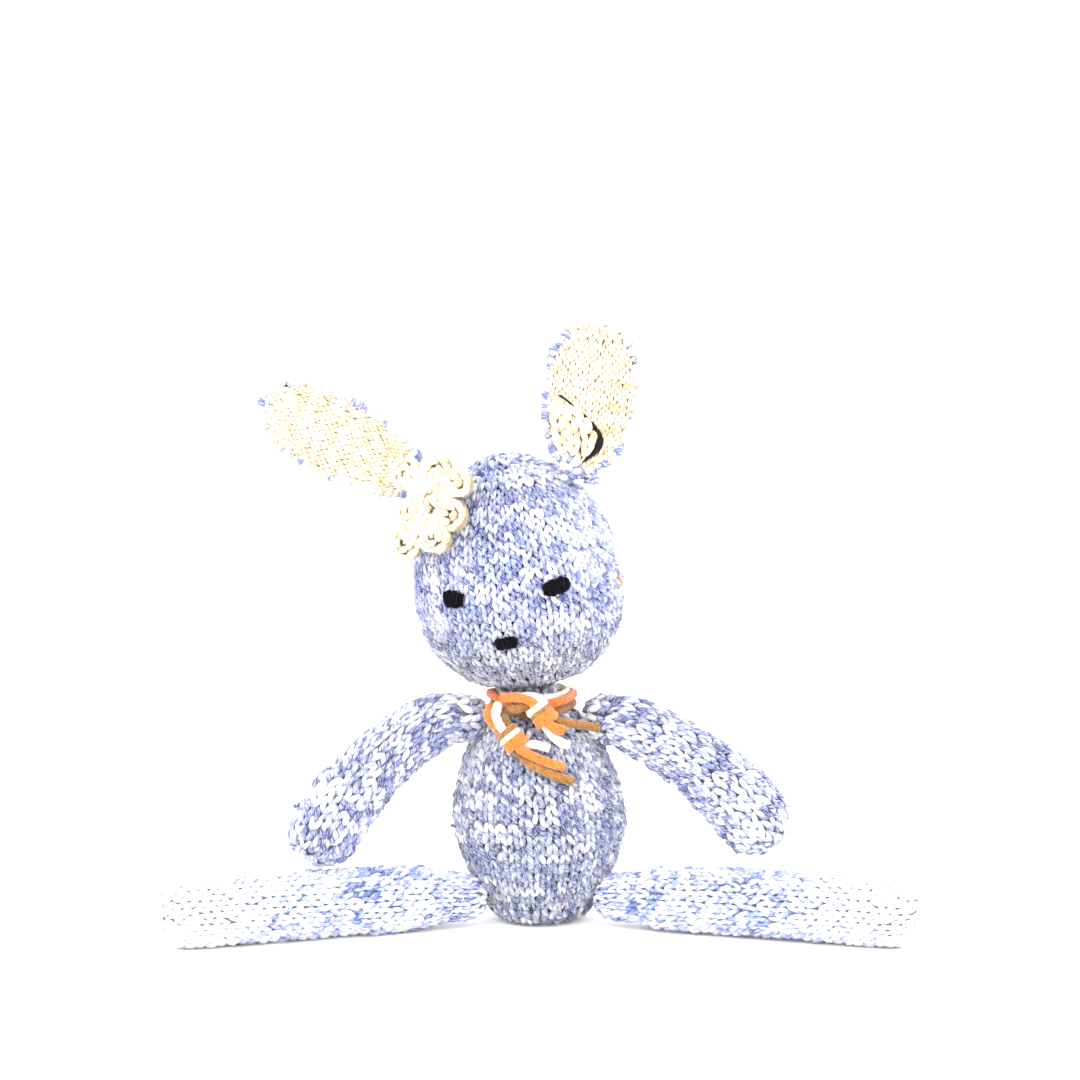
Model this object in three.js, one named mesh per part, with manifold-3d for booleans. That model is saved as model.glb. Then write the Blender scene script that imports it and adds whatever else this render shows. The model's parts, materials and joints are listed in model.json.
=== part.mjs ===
// A hand-knitted sitting rabbit, stuffed and jointed with sewing yarn.
// Millimetres, +Z up. The origin is the centre of the flat seat on the floor, the face looks along -Y,
// and the toy's own left is +X.
import * as THREE from "three";
import { mergeVertices } from "three/addons/utils/BufferGeometryUtils.js";
import Module from "manifold-3d";

// ---------------------------------------------------------------- driving sizes
const knitWall = 3;          // thickness of the knitted fabric
const moveGap = 0.4;         // between pieces that turn on each other
const restGap = 0.3;         // between pieces that only touch
const roundSides = 24;       // facets round the body and the head
const limbSides = 12;        // facets round an arm or a leg

const seatRadius = 10;       // flat gathered patch that the body sits on
const hemRadius = 19.5;      // the body just above the seat
const hemHeight = 5.5;
const bellyRadius = 33;
const bellyHeight = 38;
const ribRadius = 26.8;      // between the belly and the shoulders
const ribHeight = 67;
const shoulderRadius = 18.5;
const shoulderHeight = 78.5;
const neckBaseHeight = 84.5;

const neckRadius = 10.5;     // ball-shaped neck that plugs into the head
const neckHeight = 90;       // height of its centre, the head's pivot, over a tie of drawn strands
const neckLean = -3;         // how far the neck stands to the side
const knotRadius = 4.2;      // joining yarn wound into a ball inside each joint
const openingRadius = 4.5;   // stuffing opening that the sewn joint hides

const headRadius = 40.6;
const headDepthRadius = 38;  // front to back
const chinDrop = 38;         // from the head's widest ring down to the chin
const crownRise = 53;        // and up to the crown
const headLift = 40.5;       // from the neck's centre to the widest ring
const cheekFullness = 2.3;   // 2 would make the lower half of the head an ellipse
const headRoll = 7;          // degrees, leaning to the toy's right
const headTurn = 8.4;        // degrees, the face looks to the toy's right

const armRoot = 7;           // radius of the ball at the shoulder
const armMiddle = 11.3;
const handRadius = 14;
const shoulderSeatHeight = 75.5;
const shoulderAzimuth = 12;  // degrees forward of straight sideways
const legRoot = 8;
const legMiddle = 13;
const footRadius = 13.6;
const hipSeatHeight = 15.5;
const hipAzimuth = 24;
const legSplay = 16;         // degrees that the leg points forward of sideways
const legLength = 108;       // hip pivot to the start of the toe cap

const earRootRadius = 5.5;
const earFabric = 3;         // outer fabric of the ear
const liningFabric = 2.2;
const edgeYarn = 2.6;        // diameter of the whipped edge
const patchThickness = 1.5;  // embroidered eyes and nose
const flowerThickness = 4.5;
const strand = 3.5;          // diameter of one strand of the tie
const tieKnotRadius = 4.7;
const tieKnotLength = 7.2;
const drawnStrand = 3.5;     // the strand that the tie's routes are drawn for

// A thicker tie lifts the head, so that its turns keep their room over the shoulders.
const neckCentreHeight = neckHeight + 2 * (strand - drawnStrand);

// ---------------------------------------------------------------- colours
const colour = {
  yarn: 0x7f8fc4, yarnPale: 0xa9b3d8, ear: 0x8f8fcf, cream: 0xd3c7a8, black: 0x0c0c10,
  orange: 0xd96a1e, brown: 0x8a6420, felt: 0xefe3cf, fill: 0xf2f0ea,
};

const wasm = await Module();
wasm.setup();
const rabbit = new THREE.Group();
const up = new THREE.Vector3(0, 0, 1);

// ---------------------------------------------------------------- helpers
function toSolid(geometry) {
  const bare = geometry.clone();
  for (const name of Object.keys(bare.attributes)) if (name !== "position") bare.deleteAttribute(name);
  const merged = mergeVertices(bare, 1e-4);
  return new wasm.Manifold(new wasm.Mesh({
    numProp: 3,
    vertProperties: new Float32Array(merged.attributes.position.array),
    triVerts: new Uint32Array(merged.index.array),
  }));
}

function toGeometry(solid) {
  const mesh = solid.getMesh();
  const geometry = new THREE.BufferGeometry();
  geometry.setAttribute("position", new THREE.BufferAttribute(mesh.vertProperties, 3));
  geometry.setIndex(new THREE.BufferAttribute(mesh.triVerts, 1));
  geometry.computeVertexNormals();
  return geometry;
}

function piece(name, shape, tint, roughness = 0.95) {
  const geometry = shape.isBufferGeometry ? shape : toGeometry(shape);
  const material = new THREE.MeshStandardMaterial({ color: tint, roughness, metalness: 0 });
  const mesh = new THREE.Mesh(geometry, material);
  mesh.name = name;
  rabbit.add(mesh);
  return mesh;
}

// A closed solid of revolution about Z, from [radius, height] points given bottom to top.
function turned(outline, sides) {
  const points = outline.map(([radius, height]) => new THREE.Vector2(radius, height));
  return new THREE.LatheGeometry(points, sides).rotateX(Math.PI / 2);
}

function ball(centre, radius, sides = 20) {
  const sphere = new THREE.SphereGeometry(radius, sides, Math.round(sides / 2)).rotateX(Math.PI / 2);
  return toSolid(sphere.translate(centre.x, centre.y, centre.z));
}

// A round plug from one point to another, used to cut stuffing openings.
function plug(from, to, radius) {
  const way = to.clone().sub(from);
  const rod = new THREE.CylinderGeometry(radius, radius, way.length(), 12);
  rod.applyQuaternion(new THREE.Quaternion().setFromUnitVectors(new THREE.Vector3(0, 1, 0),
    way.clone().normalize()));
  const middle = from.clone().add(to).multiplyScalar(0.5);
  return toSolid(rod.translate(middle.x, middle.y, middle.z));
}

function cord(points, diameter, stepsPerPoint = 2) {
  const path = new THREE.CatmullRomCurve3(points.map((p) => new THREE.Vector3(...p)), false, "centripetal");
  const section = new THREE.Shape();
  section.absarc(0, 0, diameter / 2, 0, Math.PI * 2, false);
  return new THREE.ExtrudeGeometry(section, {
    steps: (points.length - 1) * stepsPerPoint, curveSegments: 4, bevelEnabled: false, extrudePath: path,
  });
}

// Turns a shape drawn in the XY plane so that its X, Y and thickness follow three directions.
function place(geometry, centre, across, along, out) {
  const matrix = new THREE.Matrix4().makeBasis(across, along, out).setPosition(centre);
  return geometry.applyMatrix4(matrix);
}

// ---------------------------------------------------------------- body
const neckCentre = new THREE.Vector3(neckLean, 0, neckCentreHeight);

const bodyOutline = new THREE.CatmullRomCurve3([
  [seatRadius, 0], [hemRadius, hemHeight], [bellyRadius, bellyHeight], [ribRadius, ribHeight],
  [shoulderRadius, shoulderHeight], [neckRadius, neckBaseHeight],
].map(([radius, height]) => new THREE.Vector3(radius, 0, height)), false, "centripetal");

// How far the body's middle stands to the side at a height.
function leanAt(height) {
  return neckLean * THREE.MathUtils.clamp((height - bellyHeight) / (neckCentreHeight - bellyHeight), 0, 1);
}

function bodyForm(inset, steps) {
  const points = [[0, inset]];
  for (let i = 0; i <= steps; i += 1) {
    const here = bodyOutline.getPoint(i / steps);
    const way = bodyOutline.getTangent(i / steps);
    const radius = here.x - inset * way.z;
    const height = Math.max(here.z + inset * way.x, inset);
    points.push([Math.max(radius, seatRadius - inset), height]);
  }
  points.push([0, points[points.length - 1][1]]);
  const pear = turned(points, roundSides);
  const position = pear.attributes.position;
  for (let i = 0; i < position.count; i += 1) position.setX(i, position.getX(i) + leanAt(position.getZ(i)));
  const throat = new THREE.Vector3(leanAt(shoulderHeight), 0, shoulderHeight - knitWall * 2);
  return toSolid(pear).add(ball(neckCentre, neckRadius - inset, 18))
    .add(plug(throat, neckCentre, neckRadius - inset - 0.5));
}

// Where a ball-shaped root rests against the body: its centre and the way out of the body there.
function rootSeat(height, azimuth, side, rootRadius) {
  let t = 0;
  while (bodyOutline.getPoint(t).z < height) t += 0.001;
  const here = bodyOutline.getPoint(t);
  const way = bodyOutline.getTangent(t);
  const angle = THREE.MathUtils.degToRad(azimuth);
  const flat = new THREE.Vector3(side * Math.cos(angle), -Math.sin(angle), 0);
  const out = flat.clone().multiplyScalar(way.z).add(new THREE.Vector3(0, 0, -way.x)).normalize();
  const point = flat.clone().multiplyScalar(here.x).add(new THREE.Vector3(leanAt(here.z), 0, here.z));
  return { centre: point.clone().add(out.clone().multiplyScalar(rootRadius + moveGap)), out, flat };
}

const headAxis = new THREE.Vector3(-Math.sin(THREE.MathUtils.degToRad(headRoll)), 0,
  Math.cos(THREE.MathUtils.degToRad(headRoll)));
const neckPlug = plug(neckCentre, neckCentre.clone().add(headAxis.clone().multiplyScalar(neckRadius + 6)),
  openingRadius);
piece("body_cover", bodyForm(0, 12).subtract(bodyForm(knitWall, 9)).subtract(neckPlug), colour.yarn);
piece("body_stuffing", bodyForm(knitWall + restGap, 9)
  .subtract(ball(neckCentre, neckRadius - knitWall + moveGap, 16)), colour.fill, 1);
piece("neck_joining_yarn", ball(neckCentre, knotRadius, 12), colour.yarnPale);

// ---------------------------------------------------------------- head
// Head places are given by two angles from the face's middle: to the toy's left, and upwards.
const headTilt = new THREE.Quaternion()
  .setFromAxisAngle(new THREE.Vector3(0, 1, 0), -THREE.MathUtils.degToRad(headRoll))
  .multiply(new THREE.Quaternion().setFromAxisAngle(up, -THREE.MathUtils.degToRad(headTurn)));
const headCentre = neckCentre.clone().add(headAxis.clone().multiplyScalar(headLift));

function headForm(inset, rings) {
  const points = [];
  for (let i = 0; i <= rings; i += 1) {
    const angle = -Math.PI / 2 + (Math.PI * i) / rings;
    const rise = angle < 0 ? chinDrop : crownRise;
    const power = angle < 0 ? 2 / cheekFullness : 1;
    points.push([(headRadius - inset) * Math.max(Math.cos(angle), 0) ** power,
      (rise - inset) * Math.sign(angle) * Math.abs(Math.sin(angle)) ** power]);
  }
  points[0][0] = 0;
  points[rings][0] = 0;
  const egg = turned(points, roundSides);
  egg.scale(1, (headDepthRadius - inset) / (headRadius - inset), 1);
  egg.applyQuaternion(headTilt);
  return toSolid(egg.translate(headCentre.x, headCentre.y, headCentre.z));
}

// A point of the head's surface and the way out of it, for a direction seen from the head's centre.
function onHead(left, rise) {
  const a = THREE.MathUtils.degToRad(left);
  const e = THREE.MathUtils.degToRad(rise);
  const ray = new THREE.Vector3(Math.sin(a) * Math.cos(e), -Math.cos(a) * Math.cos(e), Math.sin(e));
  const tall = ray.z < 0 ? chinDrop : crownRise;
  const power = ray.z < 0 ? cheekFullness : 2;
  const flat = Math.hypot(ray.x / headRadius, ray.y / headDepthRadius);
  const steep = Math.abs(ray.z) / tall;
  const reach = 1 / (flat ** power + steep ** power) ** (1 / power);
  const point = ray.clone().multiplyScalar(reach);
  const pull = (flat * reach) ** (power - 2);
  const lift = Math.sign(ray.z) * (steep * reach) ** (power - 1) / tall;
  const out = new THREE.Vector3(pull * point.x / headRadius ** 2, pull * point.y / headDepthRadius ** 2,
    lift).normalize();
  return { point: point.applyQuaternion(headTilt).add(headCentre), out: out.applyQuaternion(headTilt) };
}

const headSocket = ball(neckCentre, neckRadius + moveGap, 18);
const headHollow = headForm(knitWall, 11).subtract(ball(neckCentre, neckRadius + moveGap + knitWall, 18));
piece("head_cover", headForm(0, 14).subtract(headHollow).subtract(headSocket).subtract(
  plug(neckCentre, neckCentre.clone().add(headAxis.clone().multiplyScalar(neckRadius + 8)), openingRadius)),
  colour.yarn);
piece("head_stuffing", headForm(knitWall + restGap, 11)
  .subtract(ball(neckCentre, neckRadius + moveGap + knitWall + restGap, 18)), colour.fill, 1);

// An embroidered patch lying on the head, tilted by some degrees in its own plane.
function patch(name, left, rise, width, height, slant) {
  const { point, out } = onHead(left, rise);
  const across = up.clone().cross(out).normalize().applyAxisAngle(out, THREE.MathUtils.degToRad(slant));
  const along = out.clone().cross(across);
  const corner = height * 0.3;
  const outline = new THREE.Shape();
  outline.moveTo(-width / 2 + corner, -height / 2);
  outline.lineTo(width / 2 - corner, -height / 2);
  outline.quadraticCurveTo(width / 2, -height / 2, width / 2, -height / 2 + corner);
  outline.lineTo(width / 2, height / 2 - corner);
  outline.quadraticCurveTo(width / 2, height / 2, width / 2 - corner, height / 2);
  outline.lineTo(-width / 2 + corner, height / 2);
  outline.quadraticCurveTo(-width / 2, height / 2, -width / 2, height / 2 - corner);
  outline.lineTo(-width / 2, -height / 2 + corner);
  outline.quadraticCurveTo(-width / 2, -height / 2, -width / 2 + corner, -height / 2);
  const slab = new THREE.ExtrudeGeometry(outline, { depth: patchThickness, bevelEnabled: false,
    curveSegments: 3 });
  const centre = point.clone().add(out.clone().multiplyScalar(restGap));
  piece(name, place(slab, centre, across, along, out), colour.black, 0.85);
}
patch("eye_right", -29.6, 6.2, 8.6, 6.4, 0);
patch("eye_left", 30.5, 7.6, 10.6, 6, 14);
patch("nose", -1.5, -21.3, 8.2, 4.6, 8);

// ---------------------------------------------------------------- ears
// Each ear is a leaf of outer fabric at the back, a smaller lining in front of it, and the whipped edge.
function leafOutline(length, halfWidth, flank, root, inset) {
  const leaf = new THREE.Shape();
  const tip = length - inset;
  const wide = halfWidth - inset;
  const foot = root - inset;
  leaf.absarc(0, 0, foot, -Math.PI, 0, false);
  leaf.bezierCurveTo(foot + flank, length * 0.08, wide, length * 0.3, wide, length * 0.58);
  leaf.bezierCurveTo(wide, length * 0.82, wide * 0.6, tip, 0, tip);
  leaf.bezierCurveTo(-wide * 0.6, tip, -wide, length * 0.82, -wide, length * 0.58);
  leaf.bezierCurveTo(-wide, length * 0.3, -foot - flank, length * 0.08, -foot, 0);
  return leaf;
}

function ear(side, left, rise, length, halfWidth, flank, lean) {
  const { point, out } = onHead(left, rise);
  const centre = point.clone().add(out.clone().multiplyScalar(earRootRadius + moveGap + 0.8));
  const angle = THREE.MathUtils.degToRad(lean);
  const along = new THREE.Vector3(Math.sin(angle), 0, Math.cos(angle));
  const front = new THREE.Vector3(0, -1, 0);
  const across = along.clone().cross(front);
  const seat = (forward) => centre.clone().add(front.clone().multiplyScalar(forward));
  const slab = (inset, depth) => new THREE.ExtrudeGeometry(
    leafOutline(length, halfWidth, flank, earRootRadius, inset), { depth, bevelEnabled: false, curveSegments: 8 });
  const liningInset = edgeYarn + restGap * 5;
  piece(`ear_${side}_outer`, place(slab(0, earFabric), seat(-earFabric), across, along, front), colour.ear);
  const lining = slab(liningInset, liningFabric);
  piece(`ear_${side}_lining`, place(lining, seat(restGap), across, along, front), colour.cream);
  const rim = leafOutline(length, halfWidth, flank, earRootRadius, edgeYarn / 2).getSpacedPoints(26);
  const foot = earRootRadius * 0.6;
  const open = rim.filter((p) => p.y > foot).map((p) => new THREE.Vector3(p.x, p.y, 0));
  const matrix = new THREE.Matrix4().makeBasis(across, along, front)
    .setPosition(seat(restGap + edgeYarn / 2));
  const route = open.map((p) => p.applyMatrix4(matrix).toArray());
  piece(`ear_${side}_edge`, cord(route, edgeYarn, 1), colour.ear);
  return centre;
}
const earRightPivot = ear("right", -85, 57, 71, 16.5, 4, -61.5);
const earLeftPivot = ear("left", 80, 57, 57, 18, 11, 6);

// ---------------------------------------------------------------- crochet flower
function flower() {
  const { point } = onHead(-52, 48);
  const out = new THREE.Vector3(-0.5, -0.82, 0.28).normalize();
  const across = up.clone().cross(out).normalize();
  const along = out.clone().cross(across);
  const petals = 6;
  const outline = new THREE.Shape();
  const points = [];
  for (let i = 0; i < petals * 6; i += 1) {
    const angle = (i / (petals * 6)) * Math.PI * 2;
    const reach = 17.3 + 3 * Math.cos(petals * angle);
    points.push(new THREE.Vector2(reach * 0.86 * Math.cos(angle), reach * 1.12 * Math.sin(angle)));
  }
  outline.setFromPoints(points);
  const slab = new THREE.ExtrudeGeometry(outline, { depth: flowerThickness, bevelEnabled: false });
  const centre = point.clone().add(new THREE.Vector3(-1.6, -6, 5));
  const solid = toSolid(place(slab, centre, across, along, out));
  piece("crochet_flower", solid.subtract(headForm(-restGap, 24)), colour.cream);
}
flower();

// ---------------------------------------------------------------- arms and legs
// A round form that follows a path, with a ball at its root and a blunt cap at its tip.
function limbForm(limb, inset, rings) {
  const path = new THREE.CatmullRomCurve3(limb.path, false, "centripetal");
  const length = path.getLength();
  const cap = limb.tip - inset;
  const outline = [];
  for (let i = 0; i <= 4; i += 1) {
    const angle = -Math.PI / 2 + (Math.PI / 2) * (i / 4);
    const root = limb.root - inset;
    outline.push([root * Math.cos(angle), root * Math.sin(angle)]);
  }
  for (let i = 1; i <= rings; i += 1) {
    const t = i / rings;
    const early = THREE.MathUtils.smoothstep(t, 0, 0.22);
    const late = THREE.MathUtils.smoothstep(t, 0.35, 0.85);
    const radius = limb.root + (limb.middle - limb.root) * early + (limb.tip - limb.middle) * late;
    outline.push([radius - inset, t * length]);
  }
  for (let i = 1; i <= 4; i += 1) {
    const angle = (Math.PI / 2) * (i / 4);
    outline.push([cap * Math.cos(angle), length + (limb.cap - inset) * Math.sin(angle)]);
  }
  outline[0][0] = 0;
  outline[outline.length - 1][0] = 0;
  const form = turned(outline, limbSides);
  const position = form.attributes.position;
  const vertex = new THREE.Vector3();
  for (let i = 0; i < position.count; i += 1) {
    vertex.fromBufferAttribute(position, i);
    const t = THREE.MathUtils.clamp(vertex.z / length, 0, 1);
    const beyond = vertex.z - t * length;
    const way = path.getTangentAt(t);
    const across = limb.beside.clone().cross(way).normalize();
    const over = way.clone().cross(across);
    const moved = path.getPointAt(t).addScaledVector(way, beyond)
      .addScaledVector(across, vertex.x).addScaledVector(over, vertex.y);
    position.setXYZ(i, moved.x, moved.y, moved.z);
  }
  return toSolid(form);
}

function limb(name, shape, rings, pivot, inward) {
  const opening = plug(pivot, pivot.clone().addScaledVector(inward, shape.root + 3), openingRadius * 0.7);
  piece(`${name}_cover`, limbForm(shape, 0, rings).subtract(limbForm(shape, knitWall, rings - 2))
    .subtract(opening), colour.yarnPale);
  piece(`${name}_stuffing`, limbForm(shape, knitWall + restGap, rings - 2)
    .subtract(ball(pivot, shape.root - knitWall + 1, 12)), colour.fill, 1);
}

// Each arm's route, measured from its shoulder pivot: outwards, forwards and up.
const armRoutes = {
  right: [[0, 0, 0], [8, -3, 0.2], [21, -8, -5.6], [33, -13, -14.5], [45, -17.5, -26.5], [54.5, -21.5, -39.4]],
  left: [[0, 0, 0], [9, -3.6, -1], [25, -9.5, -8], [39.5, -15, -17.2], [50, -18.5, -26], [58, -21.5, -35]],
};
const shoulders = {};
for (const [side, sign] of [["right", -1], ["left", 1]]) {
  const seat = rootSeat(shoulderSeatHeight, shoulderAzimuth, sign, armRoot);
  shoulders[side] = seat.centre;
  const path = armRoutes[side].map(([outwards, y, z]) =>
    seat.centre.clone().add(new THREE.Vector3(outwards * sign, y, z)));
  const shape = { path, root: armRoot, middle: armMiddle, tip: handRadius, cap: 12.5,
    beside: new THREE.Vector3(0, 1, 0) };
  limb(`arm_${side}`, shape, 9, seat.centre, seat.out.clone().negate());
  piece(`shoulder_${side}_joining_yarn`, ball(seat.centre, armRoot - knitWall - moveGap, 10), colour.yarnPale);
}

const hips = {};
for (const [side, sign] of [["right", -1], ["left", 1]]) {
  const seat = rootSeat(hipSeatHeight, hipAzimuth, sign, legRoot);
  hips[side] = seat.centre;
  const splay = THREE.MathUtils.degToRad(legSplay);
  const flat = new THREE.Vector3(sign * Math.cos(splay), -Math.sin(splay), 0);
  const at = (distance, radius) => {
    const point = seat.centre.clone().addScaledVector(flat, distance);
    return point.setZ(radius);
  };
  const path = [seat.centre.clone(), at(legLength * 0.12, seat.centre.z * 0.4 + legMiddle * 0.6),
    at(legLength * 0.3, legMiddle), at(legLength * 0.55, legMiddle + (footRadius - legMiddle) * 0.35),
    at(legLength * 0.8, footRadius), at(legLength, footRadius)];
  const shape = { path, root: legRoot, middle: legMiddle, tip: footRadius, cap: 10.5, beside: up };
  limb(`leg_${side}`, shape, 9, seat.centre, seat.out.clone().negate());
  piece(`hip_${side}_joining_yarn`, ball(seat.centre, legRoot - knitWall - moveGap, 10), colour.yarnPale);
}

// ---------------------------------------------------------------- tie of three felted strands
const strandColours = { orange: colour.orange, brown: colour.brown, cream: colour.felt };
const strandPitch = strand + restGap;    // between the middles of two strands that lie together
const collarTop = neckCentreHeight + 1.15;     // just under the head
// Each turn's radius and height: cream close round the neck, orange outside and below it, brown below that.
const collarSeats = { cream: [neckRadius + strand / 2 + restGap * 1.5, collarTop - strand / 2] };
collarSeats.orange = [collarSeats.cream[0] + strandPitch * 0.87, collarSeats.cream[1] - strandPitch * 0.48];
collarSeats.brown = [collarSeats.orange[0] - strandPitch * 0.21,
  collarSeats.orange[1] - strandPitch * 0.975];
// The lowest turn is widened until it clears the shoulders.
const clearance = strand / 2 + restGap / 2;
const shoulderLine = bodyOutline.getPoints(200).filter(({ z }) => z < neckBaseHeight);
const sinks = ([radius, height]) => shoulderLine.some(({ x, z }) => (
  Math.hypot(x + Math.abs(leanAt(z) - neckLean) - radius, z - height) < clearance));
while (sinks(collarSeats.brown)) collarSeats.brown[0] += 0.1;
for (const [name, [radius, height]] of Object.entries(collarSeats)) {
  const ring = new THREE.TorusGeometry(radius, strand / 2, 8, 24);
  piece(`collar_${name}`, ring.translate(neckLean, 0, height), strandColours[name]);
}

// Each knot has its centre, the way the strands run through it, and the angle round its end at which
// each strand goes in and comes out.
// The routes are drawn for a strand this thick and grow with the strand, away from the neck.
const tieScale = strand / drawnStrand;
const drawnTop = new THREE.Vector3(neckLean, -12, neckHeight + 2.4);
const tieTop = new THREE.Vector3(neckLean, -12, neckCentreHeight + 2.4);
const onTie = (spot) => new THREE.Vector3(...spot).sub(drawnTop).multiplyScalar(tieScale).add(tieTop);
const tieKnots = {
  upper: { centre: onTie([0.4, -24.8, 86.4]), way: new THREE.Vector3(0.62, -0.05, -0.78),
    into: { orange: 265, cream: 150, brown: 20 }, outOf: { orange: 270, brown: 150, cream: 30 } },
  lower: { centre: onTie([-11, -26.6, 77.2]), way: new THREE.Vector3(0.65, -0.1, -0.75),
    into: { orange: 30, cream: 270, brown: 150 }, outOf: { orange: 270, cream: 150, brown: 30 } },
};
// The two points where a strand meets a knot's end square on.
function knotEnd(knot, degrees, sense) {
  const way = knot.way.clone().normalize();
  const sideways = new THREE.Vector3(0, 1, 0).cross(way).normalize();
  const upright = way.clone().cross(sideways);
  const angle = THREE.MathUtils.degToRad(degrees);
  const spread = (drawnStrand / 2 + 0.6) * tieScale;
  const face = knot.centre.clone().addScaledVector(way, sense * (tieKnotLength / 2 + restGap) * tieScale)
    .addScaledVector(sideways, spread * Math.cos(angle)).addScaledVector(upright, spread * Math.sin(angle));
  return [face.toArray(), face.clone().addScaledVector(way, sense * 1.6 * tieScale).toArray()];
}
for (const [name, knot] of Object.entries(tieKnots)) {
  const way = knot.way.clone().normalize().multiplyScalar((tieKnotLength / 2) * tieScale);
  piece(`tie_knot_${name}`, plug(knot.centre.clone().sub(way), knot.centre.clone().add(way),
    tieKnotRadius * tieScale), colour.orange);
}

// Routes of the strands from the collar to their knot, and from the knot to their loose ends.
const leadRoutes = {
  upper: {
    orange: [[-14.3, -20.3, 91.3], [-8.5, -24.4, 92.4]],
    cream: [[-9.6, -19.6, 91.1], [-5.2, -21.8, 92.2]],
    brown: [[-12, -20.8, 87.2], [-8.8, -23.2, 87.4]],
  },
  lower: {
    orange: [[-19, -17.6, 87.6], [-19.8, -22, 84]],
    cream: [[-16, -20, 88.6], [-16.8, -25, 85.2]],
    brown: [[-13.8, -19.9, 84.6]],
  },
};
const tailRoutes = {
  upper: {
    orange: [[6.2, -27.6, 80.9], [9.3, -27.4, 80.3]],
    cream: [[4.6, -25.2, 77.8], [8, -27.4, 75.4], [11, -28.4, 74.6]],
    brown: [[10.5, -22.4, 82.2], [16.5, -19.8, 80.6], [22.3, -16.6, 78.9]],
  },
  lower: {
    orange: [[-2.5, -30, 70.6], [3.4, -30.4, 68.2], [9.5, -30, 66.3]],
    cream: [[-1.6, -26.6, 74.4], [3.6, -27.2, 73]],
    brown: [[-4.5, -28.8, 68], [1, -30.2, 65.2], [6.6, -30.6, 62.9], [12.4, -29.6, 61]],
  },
};
for (const [end, knot] of Object.entries(tieKnots)) {
  for (const name of ["orange", "cream", "brown"]) {
    const [inFace, inStub] = knotEnd(knot, knot.into[name], -1);
    const lead = leadRoutes[end][name].map((spot) => onTie(spot).toArray());
    const tail = tailRoutes[end][name].map((spot) => onTie(spot).toArray());
    piece(`tie_${end}_${name}_lead`, cord([...lead, inStub, inFace], strand),
      strandColours[name]);
    const [outFace, outStub] = knotEnd(knot, knot.outOf[name], 1);
    piece(`tie_${end}_${name}_tail`, cord([outFace, outStub, ...tail], strand),
      strandColours[name]);
  }
}

rabbit.userData = { neckCentre, headCentre, headAxis, shoulders, hips, earRightPivot, earLeftPivot };

export default rabbit;
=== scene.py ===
"""Knitted rabbit: stitch-by-stitch woollen covers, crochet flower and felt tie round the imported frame."""

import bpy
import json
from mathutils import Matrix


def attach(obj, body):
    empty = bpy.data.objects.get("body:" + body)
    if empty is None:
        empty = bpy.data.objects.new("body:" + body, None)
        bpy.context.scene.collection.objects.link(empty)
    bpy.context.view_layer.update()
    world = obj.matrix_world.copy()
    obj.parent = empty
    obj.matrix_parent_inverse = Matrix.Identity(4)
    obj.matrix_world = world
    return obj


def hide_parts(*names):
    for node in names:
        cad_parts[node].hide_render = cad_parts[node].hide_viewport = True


bl_info = {
    "name": "Knitted Rabbit",
    "version": (1, 0, 0),
    "blender": (4, 5, 0),
    "location": "3D View > Sidebar > Knitted Rabbit",
    "description": "Dresses the jointed rabbit in hand-knitted wool, stitch by stitch",
    "category": "Add Mesh",
}

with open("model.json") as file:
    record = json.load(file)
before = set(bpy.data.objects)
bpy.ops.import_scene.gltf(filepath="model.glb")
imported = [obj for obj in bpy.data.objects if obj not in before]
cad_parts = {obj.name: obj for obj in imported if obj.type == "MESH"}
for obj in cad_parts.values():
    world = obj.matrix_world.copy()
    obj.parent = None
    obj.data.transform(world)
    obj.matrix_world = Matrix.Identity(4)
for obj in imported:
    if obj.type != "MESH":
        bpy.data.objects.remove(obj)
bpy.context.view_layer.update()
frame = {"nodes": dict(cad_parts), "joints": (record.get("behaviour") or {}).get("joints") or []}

import json
import math

import bpy
import numpy as np
from bpy.props import FloatProperty, FloatVectorProperty, IntProperty, PointerProperty
from mathutils import Vector

MM = 0.001
BASE_DEPTH = 1.7      # how far the ground of the fabric, painted dark as the shade between the stitches, lies under the covers' outside, in mm
YARN_REPEAT = 6       # length of yarn over which its texture repeats, in mm
YARN_TWIST = 1.3      # turns of the plies over that length
BRIGHTEST = 0.93      # no wool reflects more light than this
PRESSURE = 4          # of the stuffing, in the cloth simulation
SETTLE_FRAMES = 20
STRAND = 3.5          # diameter of one felt strand of the tie, in mm
FELTS = ("cream", "brown", "orange")


# ------------------------------------------------------------------ settings
def srgb(text):
    """A colour written as six hex digits, as linear light."""
    parts = [int(text[i:i + 2], 16) / 255 for i in (0, 2, 4)]
    return tuple(p / 12.92 if p <= 0.04045 else ((p + 0.055) / 1.055) ** 2.4 for p in parts)


def colour_property(name, description, text):
    return FloatVectorProperty(name=name, description=description, subtype="COLOR", size=3,
                               min=0, max=1, default=srgb(text))


def size_property(name, description, millimetres):
    return FloatProperty(name=name, description=description, unit="LENGTH", default=millimetres * MM)


class RabbitGauge(bpy.types.PropertyGroup):
    """Stitch counts and the thickness of the yarn."""
    body_columns: IntProperty(name="Body columns", description="Stitches round the belly", default=40)
    head_columns: IntProperty(name="Head columns", description="Stitches round the head", default=56)
    arm_columns: IntProperty(name="Arm columns", description="Stitches round an arm", default=16)
    leg_columns: IntProperty(name="Leg columns", description="Stitches round a leg", default=18)
    ear_columns: IntProperty(name="Ear columns", description="Stitches across an ear", default=12)
    ear_row_height: size_property("Ear row height", "Height of one row on the ears", 2.8)
    row_height: size_property("Row height", "Height of one row of stitches", 3.8)
    head_row_height: size_property("Head row height", "Height of one row on the head", 3.6)
    plumpness: FloatProperty(name="Plumpness", description="Yarn radius as a share of the stitch width",
                             subtype="FACTOR", min=0.1, max=0.5, default=0.275)


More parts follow.
